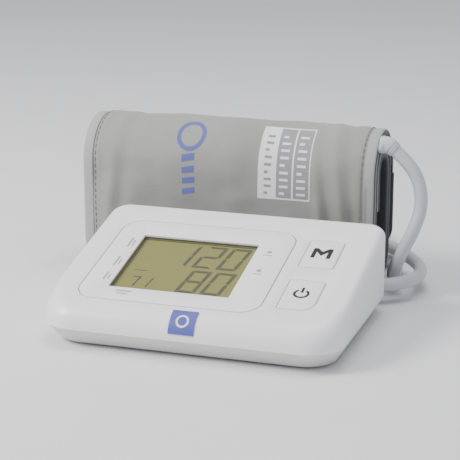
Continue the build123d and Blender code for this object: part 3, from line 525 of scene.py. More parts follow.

# panel outline, a fine grey ring in the groove floor: painted shade in the gap between panel and shell
gr = [(PAN[3] + x, PAN[4] + y) for x, y in rrect(PAN[0] + 0.8, PAN[1] + 0.8, PAN[2] + 0.4, 12)]
gi = [(PAN[3] + x, PAN[4] + y) for x, y in rrect(PAN[0] + 0.1, PAN[1] + 0.1, PAN[2], 12)]
n_ = len(gr)
gv = [tp(u, s, -0.96) for u, s in gr] + [tp(u, s, -0.96) for u, s in gi] + [tp(u, s, -0.30) for u, s in gr] + [tp(u, s, -0.30) for u, s in gi]
gf = []
for k in range(n_):
    j = (k + 1) % n_
    gf += [(k, j, j + n_, k + n_), (k + 2 * n_, k + 3 * n_, j + 3 * n_, j + 2 * n_), (k, k + 2 * n_, j + 2 * n_, j), (k + n_, j + n_, j + 3 * n_, k + 3 * n_)]
line = new_mesh("panel_seam", gv, gf, M["groove"], smooth=False)
fix_normals(line)
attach(line, "monitor")


# ----------------------------------------------------------------------- keys
def key(name, r, cs, body, node):
    cap = plate(name, KW, KH, r, -2.6, 0.35, 0.7, KX, cs, M["key"], crown=0.35, n=8, steps=5)
    skirt = plate(name + "_skirt", KW + 2.4, KH + 2.4, 1.8, -3.3, -2.5, 0.2, KX, cs, M["key"], n=6, steps=2)
    stem = stack(name + "_stem", [[(KX + 1.6 * math.cos(a), cs + 1.6 * math.sin(a), h) for a in [2 * math.pi * k / 24 for k in range(24)]] for h in (-3.9, -3.2)], M["key"], lambda u, v, h_: tp(u, v, h_))
    for o in (cap, skirt, stem):
        sharp_by_angle(o, 50)
    with bpy.context.temp_override(active_object=cap, selected_editable_objects=[cap, skirt, stem], selected_objects=[cap, skirt, stem]):
        bpy.ops.object.join()
    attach(cap, body)
    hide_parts(node)
    return cap


key("memory_keycap", 1.5, KM, "memory_key", "m_button")
key("start_keycap", [1.5, 6.5, 1.5, 1.5], KP, "start_key", "power_button")
top_h = 0.35 + 0.33


def on_key(cs):
    def f(u, s, h):
        a, b = (u - KX) / (KW / 2 - 0.7), (s - cs) / (KH / 2 - 0.7)
        k = min(1.0, max(abs(a), abs(b)))
        return tp(u, s, 0.35 + 0.35 * (1 - k * k) + h)
    return f


# memory sign: two posts and a V, drawn as a plain geometric mark
g0, hh, hw, th = KM, 4.4, 4.6, 1.9
m_mark = [[(KX - hw, g0 - hh), (KX - hw + th, g0 - hh), (KX - hw + th, g0 + hh), (KX - hw, g0 + hh)],
          [(KX + hw - th, g0 - hh), (KX + hw, g0 - hh), (KX + hw, g0 + hh), (KX + hw - th, g0 + hh)],
          [(KX - hw + th, g0 + hh), (KX - hw + th, g0 + hh - 3.2), (KX, g0 - 2.4), (KX, g0 + 1.4)],
          [(KX, g0 + 1.4), (KX, g0 - 2.4), (KX + hw - th, g0 + hh - 3.2), (KX + hw - th, g0 + hh)]]
flat_shape("memory_mark", m_mark, -0.05, 0.06, M["print_black"], "memory_key", on_key(KM))
# power sign: an open ring and a stroke
ring = []
for k in range(28):
    a0, a1 = math.radians(125 + 290 * k / 28), math.radians(125 + 290 * (k + 1) / 28)
    ring.append([(KX + r * math.cos(a), KP + r * math.sin(a)) for r, a in ((2.5, a0), (3.7, a0), (3.7, a1), (2.5, a1))])
ring.append(bar(KX, KP + 2.9, 1.2, 4.4))
flat_shape("power_mark", ring, -0.05, 0.06, M["print_black"], "start_key", on_key(KP))

# ---------------------------------------------------------------------- badge
cv = -D / 2 + 11.0
cz = ZC + cv * T - 11.0 / math.cos(SL)


def lip(u, ang, h):
    r = 11.0 + h
    return (MX + u, MY + cv + r * math.cos(math.radians(ang)), cz + r * math.sin(math.radians(ang)))


def lip_patch(name, us, angs, h0, h1, material, r_=None):
    nu, na = len(us), len(angs)
    verts = [lip(u, a, h1) for a in angs for u in us] + [lip(u, a, h0) for a in angs for u in us]
    faces = []
    N = nu * na
    for i in range(na - 1):
        for k in range(nu - 1):
            q = (i * nu + k, i * nu + k + 1, (i + 1) * nu + k + 1, (i + 1) * nu + k)
            faces += [q, tuple(N + x for x in reversed(q))]
    rim = [k for k in range(nu)] + [i * nu + nu - 1 for i in range(1, na)] + [(na - 1) * nu + k for k in reversed(range(nu - 1))] + [i * nu for i in reversed(range(1, na - 1))]
    for a, b in zip(rim, rim[1:] + rim[:1]):
        faces.append((a, b, N + b, N + a))
    ob = new_mesh(name, verts, faces, material)
    fix_normals(ob)
    sharp_by_angle(ob, 50)
    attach(ob, "monitor")
    return ob


bd = lip_patch("blue_badge", list(np.linspace(-5.9, 5.9, 13)), list(np.linspace(104, 166, 21)), -0.5, 0.45, M["badge"])
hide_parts("badge")
marks = []
for k in range(24):
    a0, a1 = 2 * math.pi * k / 24, 2 * math.pi * (k + 1) / 24
    marks.append([(r * math.cos(a), 135 + r * math.sin(a) * 5.2) for r, a in ((2.1, a0), (3.0, a0), (3.0, a1), (2.1, a1))])
flat_shape("badge_ring", marks, 0.42, 0.55, M["label_white"], "monitor", place=lip)

# ------------------------------------------------------------------ hose
DIP = math.radians(40.0)
PORT_A = math.radians(33.0)
PORT_Y = CY - R2 * math.sin(PORT_A)
PORT_Z = ZT + R2 * math.cos(PORT_A)
PORT_X = CX + CW / 2 + 1.2
JX = PORT_X + 4.3
EXIT = (JX + 4.0 * math.cos(DIP), PORT_Y, PORT_Z - 4.0 * math.sin(DIP))
route = [
    EXIT,
    (EXIT[0] + 10.0 * math.cos(DIP), PORT_Y, EXIT[2] - 10.0 * math.sin(DIP)),
    (91.0, 46.0, 56.1), (92.3, 44.9, 44.8), (89.2, 41.6, 33.7), (83.9, 41.6, 23.1), (79.7, 46.5, 13.4), (76.8, 55.2, 6.4), (75.7, 66.3, 3.3), (74.3, 78.3, 3.3), (69.2, 89.4, 3.3), (62.8, 100.6, 3.3), (57.4, 113.0, 3.3), (55.9, 131.1, 3.3), (47.8, 147.1, 3.3), (33.0, 156.7, 3.3), (15.7, 157.7, 3.3), (0.6, 150.0, 3.3), (-8.6, 135.9, 3.3), (-9.4, 119.5, 3.3), (-2.1, 105.2, 3.3), (11.2, 96.6, 3.3), (26.7, 95.8, 3.3), (40.2, 102.7, 3.3), (48.3, 115.3, 3.3), (49.0, 129.8, 3.3), (42.4, 142.6, 3.3), (30.6, 150.1, 3.3), (17.0, 150.8, 3.3), (5.1, 144.6, 3.3), (-2.0, 133.6, 3.3), (-2.5, 120.8, 3.3), (3.2, 109.7, 3.3), (13.5, 103.2, 4.0), (26.0, 102.2, 6.4), (39.2, 101.4, 10.7), (51.4, 98.4, 11.6), (62.4, 92.4, 11.8), (72.4, 84.8, 11.4), (80.8, 76.4, 10.2), (89.0, 65.8, 8.9), (91.2, 52.4, 8.8), (89.2, 41.2, 8.9), (82.9, 32.5, 9.0),
    (SOCK_X + 18.7, PLUG_Y, SOCK_Z), (SOCK_X + 8.0, PLUG_Y, SOCK_Z),
]
cu_ = bpy.data.curves.new("air_line", "CURVE")
cu_.dimensions = "3D"
cu_.bevel_depth = HOSE_D / 2 * MM
cu_.bevel_resolution = 6
cu_.resolution_u = 10
cu_.use_fill_caps = True
sp = cu_.splines.new("NURBS")
sp.points.add(len(route) - 1)
for p, q in zip(sp.points, route):
    p.co = (q[0] * MM, q[1] * MM, q[2] * MM, 1)
sp.order_u = 3
sp.use_endpoint_u = True
hose = bpy.data.objects.new("air_line", cu_)
scene.collection.objects.link(hose)
cu_.materials.append(M["hose"])
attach(hose, "cuff")
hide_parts("air_hose")


def tube(name, path, radii, material, n=28, caps=True):
    """Round section along a path, the section kept square to it."""
    verts, faces = [], []
    P = [Vector(p) for p in path]
    prev = None
    for i, p in enumerate(P):
        t = (P[min(i + 1, len(P) - 1)] - P[max(i - 1, 0)]).normalized()
        ref = prev if prev is not None else (Vector((0, 0, 1)) if abs(t.z) < 0.9 else Vector((1, 0, 0)))
        a = (ref - t * ref.dot(t)).normalized()
        prev = a
        b = t.cross(a)
        for k in range(n):
            an = 2 * math.pi * k / n
            verts.append(p + (a * math.cos(an) + b * math.sin(an)) * radii[i])
    for i in range(len(P) - 1):
        for k in range(n):
            q, r = i * n + k, i * n + (k + 1) % n
            faces.append((q, r, r + n, q + n))
    if caps:
        faces += [tuple(reversed(range(n))), tuple((len(P) - 1) * n + k for k in range(n))]
    ob = new_mesh(name, verts, faces, material)
    fix_normals(ob)
    sharp_by_angle(ob, 50)
    return ob


def join(objs):
    with bpy.context.temp_override(active_object=objs[0], selected_editable_objects=objs, selected_objects=objs):
        bpy.ops.object.join()
    return objs[0]


# elbow plug: ribbed grip, rounded elbow, tapered outlet with rings
py0 = MY + D / 2 + 1.0
path, rad = [], []
for y, r in ((py0, 3.9), (py0 + 0.35, 4.5), (py0 + 1.6, 4.6), (py0 + 2.2, 4.15), (py0 + 2.8, 4.15), (py0 + 3.2, 4.5), (py0 + 4.6, 4.55)):
    path.append((SOCK_X, y, SOCK_Z))
    rad.append(r)
ctr = (SOCK_X + 1.0, PLUG_Y - 1.0)
for k in range(1, 8):
    a = math.pi / 2 * k / 8
    path.append((SOCK_X + 1.6 * (1 - math.cos(a)), PLUG_Y - 1.6 + 1.6 * math.sin(a), SOCK_Z))
    rad.append(4.5 - 0.5 * k / 8)
for x, r in ((2.4, 3.95), (3.2, 4.0), (3.5, 3.6), (3.9, 3.6), (4.2, 3.95), (5.0, 3.95), (5.3, 3.55), (5.7, 3.55), (6.0, 3.85), (7.0, 3.8), (7.6, 3.6), (7.95, 3.3)):
    path.append((SOCK_X + x, PLUG_Y, SOCK_Z))
    rad.append(r)
plug_body = tube("elbow_plug", path, rad, M["hose"])
knob = tube("elbow_back", [(SOCK_X, PLUG_Y - 3.6, SOCK_Z), (SOCK_X, PLUG_Y + 1.0, SOCK_Z), (SOCK_X, PLUG_Y + 2.2, SOCK_Z), (SOCK_X, PLUG_Y + 2.8, SOCK_Z), (SOCK_X, PLUG_Y + 3.0, SOCK_Z)], [4.5, 4.5, 4.2, 3.4, 2.4], M["hose"])
nip = tube("elbow_nipple", [(SOCK_X, py0 + 0.5, SOCK_Z), (SOCK_X, py0 - 10.2, SOCK_Z), (SOCK_X, py0 - 11.0, SOCK_Z)], [2.0, 2.0, 1.5], M["hose"])
plug_body = join([plug_body, knob, nip])
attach(plug_body, "cuff")
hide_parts("air_plug")

# strain relief at the roll: sewn-in base, elbow and ribbed sleeve
dirv = Vector((math.cos(DIP), 0, -math.sin(DIP)))
jp = Vector((JX, PORT_Y, PORT_Z))
path, rad = [], []
for x, r in ((-4.0, 4.1), (-3.2, 4.2), (-2.2, 4.15), (-1.6, 4.1)):
    path.append(jp + Vector((x, 0, 0)))
    rad.append(r)
for k in range(1, 7):
    a = DIP * k / 7
    path.append(jp + Vector((-1.6 + 1.6 * k / 7 + 0.25 * math.sin(a), 0, -0.55 * (k / 7) ** 2)))
    rad.append(4.1)
for t_, r in ((0.9, 4.1), (1.3, 4.05), (1.5, 3.75), (1.8, 3.75), (2.0, 4.0), (2.6, 3.95), (2.8, 3.65), (3.1, 3.65), (3.3, 3.85), (3.8, 3.7), (4.15, 3.4)):
    path.append(jp + dirv * t_)
    rad.append(r)
sleeve = tube("hose_sleeve", path, rad, M["hose"])
rings = []
ca, sa = math.cos(PORT_A), math.sin(PORT_A)
for w_, h_, r_, x_ in ((4.4, 9.6, 2.1, 0.0), (4.8, 9.6, 2.3, 0.5), (6.4, 9.2, 3.1, 1.2), (8.3, 8.6, 4.1, 2.2), (7.0, 7.2, 3.4, 2.7)):
    rings.append([(PORT_X + x_, PORT_Y - sa * a - ca * b, PORT_Z + ca * a - sa * b) for a, b in rrect(w_, h_, r_)])
base = stack("sleeve_base", rings, M["hose"])
sharp_by_angle(base, 60)
sleeve = join([sleeve, base])
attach(sleeve, "cuff")
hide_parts("hose_port")


# ------------------------------------------------------------------- the roll
def centre_line(step=1.6):
    """Middle of the strip from its inner end outwards: points and outward normals (y, z)."""
    segs = []
    for k in range(3):
        r = R0 + k * PITCH
        segs.append(("L", (-r, STRIP_START if k == 0 else ZBOT), (-r, ZT), (-1, 0)))
        segs.append(("A", (0, ZT), r, math.pi, 0.0))
        segs.append(("L", (r, ZT), (r, ZBOT if k < 2 else ZT), (1, 0)))
        if k < 2:
            rb = r + PITCH / 2
            segs.append(("A", (-PITCH / 2, ZBOT), rb, 0.0, -math.pi))
    pts = []
    for s in segs:
        if s[0] == "L":
            a, b = Vector(s[1]), Vector(s[2])
            if (b - a).length < 1e-6:
                continue
            n = max(2, round((b - a).length / step))
            pts += [(a.lerp(b, i / n), Vector(s[3])) for i in range(n)]
        else:
            c, r, a0, a1 = Vector(s[1]), s[2], s[3], s[4]
            n = max(6, round(abs(a1 - a0) * r / step))
            for i in range(n):
                a = a0 + (a1 - a0) * i / n
                d = Vector((math.cos(a), math.sin(a)))
                pts.append((c + d * r, d))
    pts.append((Vector((R2, ZT)), Vector((1, 0))))
    return pts


line_pts = centre_line()
arc = [0.0]
for (p, _), (q, _) in zip(line_pts, line_pts[1:]):
    arc.append(arc[-1] + (q - p).length)
TOTAL = arc[-1]


def folds(x, s, outer):
    """Soft creases of the outer turn, millimetres outwards; zero where turns touch."""
    v = Vector((x * 0.020 + 3.1, s * 0.030, 0.7))
    a = noise.noise(v) * 1.0 + noise.noise(v * 2.3) * 0.5 + noise.noise(v * 5.1) * 0.20
    t = s - (TOTAL - 100.0)
    low = max(0.0, min(1.0, (TOTAL - 52.0 - s) / 22.0))
    # long pulls that run up the strip, right of the label and near the left edge
    for x0, k, wd, am in ((50.0, -0.10, 2.6, 1.1), (55.5, -0.20, 3.2, -0.9), (61.5, -0.14, 2.4, 1.2), (66.5, -0.10, 2.4, -0.8), (-62.0, 0.08, 3.2, 0.8), (-56.0, 0.10, 4.0, -0.6), (6.0, -0.06, 6.0, 0.6), (-40.0, 0.05, 7.0, -0.5)):
        d = x - x0 - k * (t - 10.0)
        a += am * math.exp(-(d / wd) ** 2) * (0.35 + 0.65 * low)
    return a * 1.6 * outer


XS = []
for a, b, n in ((-75.0, -70.0, 8), (-70.0, 70.0, 92), (70.0, 75.0, 8)):
    XS += [a + (b - a) * i / n for i in range(n)]
XS.append(75.0)


def section_half(x):
    """Half thickness across the strip: full in the middle, pressed thin at the sewn edges."""
    e = 75.0 - abs(x)
    f = min(1.0, e / 7.0)
    seam = 0.55 * math.exp(-((e - 4.6) / 0.9) ** 2)
    return 1.55 + 0.65 * math.sin(f * math.pi / 2) - seam


def outer_share(i):
    """1 on the outermost turn, where the cloth is free to crease."""
    s = arc[i]
    f = (s - (TOTAL - 128.0)) / 14.0
    return max(0.0, min(1.0, f, (TOTAL - s) / 9.0))


def strip_point(i, x, side):
    p, n = line_pts[i]
    h = section_half(x)
    o = outer_share(i)
    d = side * h
    if side > 0:
        e = 75.0 - abs(x)
        d += folds(x, arc[i], o) * min(1.0, e / 9.0) * 0.9 + 0.5 * o * math.cos(x / 75.0 * math.pi / 2)
    z = p.y + n.y * d
    y = p.x + n.x * d
    # the roll settles a little where it lies on the floor
    z = max(z, 0.05)
    return (CX + x, CY + y, z)


NI, NX = len(line_pts), len(XS)
verts, faces, mats = [], [], []
for side in (1, -1):
    for i in range(NI):
        for x in XS:
            verts.append(strip_point(i, x, side))
N0 = NI * NX
for i in range(NI - 1):
    for k in range(NX - 1):
        a, b, c, d = i * NX + k, i * NX + k + 1, (i + 1) * NX + k + 1, (i + 1) * NX + k
        faces.append((a, b, c, d))
        mats.append(0)
        faces.append((N0 + d, N0 + c, N0 + b, N0 + a))
        mats.append(1)
for i in range(NI - 1):
    for k in (0, NX - 1):
        a, b = i * NX + k, (i + 1) * NX + k
        faces.append((a, b, N0 + b, N0 + a) if k == 0 else (b, a, N0 + a, N0 + b))
        mats.append(0)
for i in (0, NI - 1):
    for k in range(NX - 1):
        a, b = i * NX + k, i * NX + k + 1
        faces.append((b, a, N0 + a, N0 + b) if i == 0 else (a, b, N0 + b, N0 + a))
        mats.append(0)
roll = new_mesh("cuff_roll", verts, faces, [M["fabric"], M["lining"]])
roll.data.polygons.foreach_set("material_index", mats)
uv = roll.data.uv_layers.new(name="UVMap")
co_uv = []
for side in (1, -1):
    for i in range(NI):
        for x in XS:
            co_uv.append((x * MM, arc[i] * MM))
for lp in roll.data.loops:
    uv.data[lp.index].uv = co_uv[lp.vertex_index]
fix_normals(roll)
sharp_by_angle(roll, 60)
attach(roll, "cuff")
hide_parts("cuff_cover", "cuff_lining", "cuff_bladder")


# binding tape folded over both edges, with a row of stitches
def binding(sx):
    prof = []
    for k in range(9):
        a = math.pi / 2 - math.pi * k / 8
        prof.append((1.15 * math.cos(a), 2.12 * math.sin(a)))
    prof = [(-4.2, 1.45), (-4.2, 1.98)] + prof + [(-4.2, -1.98), (-4.2, -1.45)]
    n = len(prof)
    verts, faces, uvs = [], [], []
    for i, (p, nn) in enumerate(line_pts):
        wob = 0.12 * noise.noise(Vector((arc[i] * 0.09, sx * 3.0, 0.0)))
        for (t_, d) in prof:
            d = d * (1 + wob * 0.25)
            verts.append((CX + sx * (75.0 + t_ + wob * 0.3), CY + p.x + nn.x * d, max(0.02, p.y + nn.y * d)))
            uvs.append((t_ * MM + d * MM, arc[i] * MM))
    for i in range(len(line_pts) - 1):
        for k in range(n):
            a, b = i * n + k, i * n + (k + 1) % n
            faces.append((a, b, b + n, a + n))
    faces += [tuple(reversed(range(n))), tuple((len(line_pts) - 1) * n + k for k in range(n))]
    ob = new_mesh("binding_left" if sx < 0 else "binding_right", verts, faces, [M["tape"], M["edge_tape"]])
    # the tape's outer face keeps the pale tape; its rolled edge, underside and end caps take the dark edge tape,
    # painted shade for the shaded end faces of the roll
    light = {0, 1, 2, 3}
    ob.data.polygons.foreach_set("material_index", [0 if (k % n) in light else 1 for k in range((len(line_pts) - 1) * n)] + [1, 1])
    uvl = ob.data.uv_layers.new(name="UVMap")
    for lp in ob.data.loops:
        uvl.data[lp.index].uv = uvs[lp.vertex_index]
    fix_normals(ob)
    sharp_by_angle(ob, 60)
    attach(ob, "cuff")
    return ob


bl, br = binding(-1), binding(1)
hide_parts("edge_bindings")


def stitches(name, path_fn, s0, s1, pitch, body, gap=0.9):
    """Short thread loops standing a little proud of the cloth."""
    objs_v, objs_f = [], []
    s = s0
    while s + pitch < s1:
        a, b = path_fn(s), path_fn(s + pitch - gap)
        pa, na = a
        pb, nb = b
        t = (pb - pa).normalized()
        nrm = ((na + nb) / 2).normalized()
        sd = t.cross(nrm).normalized()
        o = len(objs_v)
        for f, hgt in ((0, -0.15), (0.2, 0.16), (0.5, 0.24), (0.8, 0.16), (1, -0.15)):
            c = pa.lerp(pb, f) + nrm * hgt
            for k in range(6):
                an = 2 * math.pi * k / 6
                objs_v.append(c + (sd * math.cos(an) + nrm * math.sin(an)) * 0.2)
        for i in range(4):
            for k in range(6):
                q, r = o + i * 6 + k, o + i * 6 + (k + 1) % 6
                objs_f.append((q, r, r + 6, q + 6))
        objs_f += [tuple(o + k for k in reversed(range(6))), tuple(o + 24 + k for k in range(6))]
        s += pitch
    ob = new_mesh(name, objs_v, objs_f, M["stitch"])
    fix_normals(ob)
    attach(ob, body)
    return ob


def at_arc(s, x):
    i = min(len(arc) - 2, max(0, int(np.searchsorted(arc, s)) - 1))
    f = (s - arc[i]) / max(1e-6, arc[i + 1] - arc[i])
    a, b = Vector(strip_point(i, x, 1)), Vector(strip_point(i + 1, x, 1))
    n = line_pts[i][1].lerp(line_pts[i + 1][1], f)
    return a.lerp(b, f), Vector((0, n.x, n.y)).normalized()


S0 = TOTAL - 126.0
stitches("edge_stitch_left", lambda s: at_arc(s, -69.3), S0, TOTAL - 1.0, 3.2, "cuff")
stitches("edge_stitch_right", lambda s: at_arc(s, 69.3), S0, TOTAL - 1.0, 3.2, "cuff")

# ---------------------------------------------------------------- closing flap
# free end of the strip: it leaves the top bend and lies on the back of the roll
FZ = [ZT + 3.0, ZT + 1.0, ZT - 0.4, ZT - 2.5]
z = ZT - 2.5
while z > FLAP_END + 0.6:
    z -= 1.6
    FZ.append(max(z, FLAP_END))
if FZ[-1] > FLAP_END:
    FZ.append(FLAP_END)
FX = [-76.0 + 152.0 * i / 76 for i in range(77)]


def flap_half(x, z):
    e = min(76.0 - abs(x), z - FLAP_END)
    return 0.75 + 0.35 * math.sin(min(1.0, max(0.0, e) / 3.0) * math.pi / 2)


def flap_pt(x, z, side):
    # rounded lower corners
    rc = 12.0
    dz = FLAP_END + rc - z
    lim = 76.0
    if dz > 0:
        lim = 76.0 - rc + math.sqrt(max(0.0, rc * rc - dz * dz))
    x = x * lim / 76.0
    y = R2 + 1.15
    h = flap_half(x, z)
    off = 0.22 * noise.noise(Vector((x * 0.03, z * 0.05, 4.0))) if side > 0 else 0
    if z > ZT - 0.4:
        return (CX + x, CY + R2 + 0.95 + side * (0.9 + 0.0), z)
    return (CX + x, CY + y + side * h + off, z)


verts, faces, mats = [], [], []
nf, nx = len(FZ), len(FX)
for side in (1, -1):
    for z in FZ:
        for x in FX:
            verts.append(flap_pt(x, z, side))
NF = nf * nx
for i in range(nf - 1):
    for k in range(nx - 1):
        a, b, c, d = i * nx + k, i * nx + k + 1, (i + 1) * nx + k + 1, (i + 1) * nx + k
        faces += [(a, b, c, d), (NF + d, NF + c, NF + b, NF + a)]
        mats += [0, 1]
for i in range(nf - 1):
    for k in (0, nx - 1):
        a, b = i * nx + k, (i + 1) * nx + k
        faces.append((a, b, NF + b, NF + a))
        mats.append(0)
for i in (0, nf - 1):
    for k in range(nx - 1):
        a, b = i * nx + k, i * nx + k + 1
        faces.append((a, b, NF + b, NF + a))
        mats.append(0)
flap = new_mesh("strip_end", verts, faces, [M["fabric"], M["lining"]])
flap.data.polygons.foreach_set("material_index", mats)
uv = flap.data.uv_layers.new(name="UVMap")
for lp in flap.data.loops:
    v = flap.data.vertices[lp.vertex_index].co
    uv.data[lp.index].uv = (v.x, -v.z)
fix_normals(flap)
sharp_by_angle(flap, 60)
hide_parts("closing_flap")
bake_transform(flap)


# the rim of the free end: down one side, along the lower edge and up the other
def rim_path(inset, top, step=1.6):
    rc, w, lo = 12.0 - inset, 76.0 - inset, FLAP_END + inset
    out = []
    n = max(2, round((top - lo - rc) / step))
    for k in range(n):
        out.append((-w, top + (lo + rc - top) * k / n, -1.0, 0.0))
    for k in range(11):
        a = math.pi + math.pi / 2 * k / 10
        out.append((-w + rc + rc * math.cos(a), lo + rc + rc * math.sin(a), math.cos(a), math.sin(a)))
    m = round(2 * (w - rc) / 2.4)
    for k in range(1, m):
        out.append((-w + rc + 2 * (w - rc) * k / m, lo, 0.0, -1.0))
    return out + [(-x, z, -ox, oz) for x, z, ox, oz in reversed(out[:n + 11])]


def rim_tape():
    prof = [(-4.0, 1.02), (-4.0, 1.42), (-2.0, 1.42)]
    for k in range(9):
        a = math.pi / 2 - math.pi * k / 8
        prof.append((0.1 + 0.55 * math.cos(a), 1.3 * math.sin(a)))
    prof += [(-2.0, -1.42), (-4.0, -1.42), (-4.0, -1.02)]
    path, n = rim_path(0.0, ZT - 4.6), len(prof)
    verts, faces, uvs, run = [], [], [], 0.0
    for i, (x, z, ox, oz) in enumerate(path):
        if i:
            run += math.hypot(x - path[i - 1][0], z - path[i - 1][1])
        off = 0.22 * noise.noise(Vector((x * 0.03, z * 0.05, 4.0)))
        for t_, d in prof:
            verts.append((CX + x + ox * t_, CY + R2 + 1.15 + d + (off if d > 0 else 0.0), z + oz * t_))
            uvs.append(((t_ + d) * MM, run * MM))
    for i in range(len(path) - 1):
        for k in range(n):
            a, b = i * n + k, i * n + (k + 1) % n
            faces.append((a, b, b + n, a + n))
    faces += [tuple(reversed(range(n))), tuple((len(path) - 1) * n + k for k in range(n))]
    ob = new_mesh("strip_end_tape", verts, faces, [M["tape"], M["edge_tape"]])
    # the pale tape shows on the outer face; the rolled rim and underside take the dark edge tape, the same painted
    # shade as on the roll's edges
    ob.data.polygons.foreach_set("material_index", [0 if k % n < 5 else 1 for k in range((len(path) - 1) * n)] + [1, 1])
    uvl = ob.data.uv_layers.new(name="UVMap")
    for lp in ob.data.loops:
        uvl.data[lp.index].uv = uvs[lp.vertex_index]
    fix_normals(ob)
    sharp_by_angle(ob, 60)
    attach(ob, "flap")


rim_tape()
RIM = rim_path(5.6, ZT - 5.0, 0.8)
RIM_S = [0.0]
for (xa, za, _, _), (xb, zb, _, _) in zip(RIM, RIM[1:]):
    RIM_S.append(RIM_S[-1] + math.hypot(xb - xa, zb - za))


def at_rim(s):
    i = min(len(RIM) - 2, max(0, int(np.searchsorted(RIM_S, s)) - 1))
    f = (s - RIM_S[i]) / max(1e-6, RIM_S[i + 1] - RIM_S[i])
    x = RIM[i][0] + (RIM[i + 1][0] - RIM[i][0]) * f
    z = RIM[i][1] + (RIM[i + 1][1] - RIM[i][1]) * f
    off = 0.22 * noise.noise(Vector((x * 0.03, z * 0.05, 4.0)))
    return Vector((CX + x, CY + R2 + 1.15 + flap_half(x, z) + off, z)), Vector((0, 1, 0))


stitches("strip_end_stitch", at_rim, 0.5, RIM_S[-1] - 0.5, 3.2, "flap")


# hook tape on its inner face
def soft_patch(name, w, h, r, thick, at, material, body, axis=1, grain=0.12):
    """Rounded flat patch in the XZ plane with a soft edge and a slightly uneven face."""
    rings = []
    for dz, ins in ((0.0, 0.0), (thick * 0.6, 0.0), (thick * 0.9, 0.25), (thick, 0.6)):
        rings.append([(x, z_, dz) for x, z_ in inset_ring(w, h, r, ins, 6)])
    for f in (0.3, 0.6, 0.85):
        rings.append([(x * (1 - f), z_ * (1 - f), thick + grain * noise.noise(Vector((x * (1 - f) * 0.1, z_ * (1 - f) * 0.1, 1.0)))) for x, z_ in inset_ring(w, h, r, 0.6, 6)])
    ob = stack(name, rings, material, lambda u, v, d: (at[0] + u, at[1] + axis * d, at[2] + v))
    uvl = ob.data.uv_layers.new(name="UVMap")
    for lp in ob.data.loops:
        v = ob.data.vertices[lp.vertex_index].co
        uvl.data[lp.index].uv = (v.x, v.z)
    sharp_by_angle(ob, 60)
    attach(ob, body)
    return ob


hk = soft_patch("hook_tape", 112.0, 34.0, 5.0, 1.15, (CX, CY + R2, (ZT + FLAP_END) / 2 - 0.5), M["hooks"], "flap", axis=-1)
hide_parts("hook_patch")
lpch = soft_patch("loop_tape", 130.0, 36.0, 4.0, 1.1, (CX, CY + R1 + 2.2, (ZT + ZBOT) / 2), M["loops"], "cuff", axis=1)
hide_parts("loop_patch")


# ------------------------------------------------- printed marks on the cuff
def cuff_mark(name, polys, h0, h1, material):
    """Printed or heat-sealed mark that follows the outer turn; outlines are (x, arc length)."""
    verts, faces, uvs = [], [], []
    for x0, x1, s0, s1, r in polys:
        nu_, ns_ = max(2, int((x1 - x0) / 1.2)), max(2, int((s1 - s0) / 1.0))
        o = len(verts)
        for layer in (h1, h0):
            for j in range(ns_ + 1):
                for k in range(nu_ + 1):
                    x = x0 + (x1 - x0) * k / nu_
                    s = s0 + (s1 - s0) * j / ns_
                    p, n = at_arc(s, x)
                    verts.append(p + n * layer)
                    uvs.append((x * MM, s * MM))
        L_ = (nu_ + 1) * (ns_ + 1)
        for j in range(ns_):
            for k in range(nu_):
                a = o + j * (nu_ + 1) + k
                q = (a, a + 1, a + nu_ + 2, a + nu_ + 1)
                faces += [q, tuple(L_ + v for v in reversed(q))]
        rim = [k for k in range(nu_ + 1)] + [j * (nu_ + 1) + nu_ for j in range(1, ns_ + 1)] + [ns_ * (nu_ + 1) + k for k in reversed(range(nu_))] + [j * (nu_ + 1) for j in reversed(range(1, ns_))]
        for a, b in zip(rim, rim[1:] + rim[:1]):
            faces.append((o + a, o + b, o + L_ + b, o + L_ + a))
    ob = new_mesh(name, verts, faces, material)
    uvl = ob.data.uv_layers.new(name="UVMap")
    for lp in ob.data.loops:
        uvl.data[lp.index].uv = uvs[lp.vertex_index]
    fix_normals(ob)
    sharp_by_angle(ob, 50)
    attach(ob, "cuff")
    return ob


# arc length where the front side of the outer turn meets the top bend
S_TOP = TOTAL - math.pi * R2
LX = 17.5
cuff_mark("size_label", [(LX, LX + 26.5, S_TOP - 12.0, S_TOP + 24.0, 1.0)], -0.05, 0.10, M["label_white"])
cols = []
for x0 in (LX + 9.2, LX + 18.0):
    cols.append((x0, x0 + 7.9, S_TOP - 11.2, S_TOP + 23.2, 0.5))
cuff_mark("size_columns", cols, 0.05, 0.16, M["label_grey"])
lines, pale = [], []
for j in range(9):
    lines.append((LX + 3.0, LX + (6.6 if j % 3 else 4.9), S_TOP - 9.5 + j * 3.4, S_TOP - 8.3 + j * 3.4, 0.1))
    for x0 in (LX + 10.9, LX + 19.7):
        pale.append((x0, x0 + (4.4 if (j + int(x0)) % 4 else 2.6), S_TOP - 9.5 + j * 3.4, S_TOP - 8.3 + j * 3.4, 0.1))
cuff_mark("size_lines", lines, 0.10, 0.19, M["label_grey"])
cuff_mark("size_lines_pale", pale, 0.12, 0.22, M["label_white"])


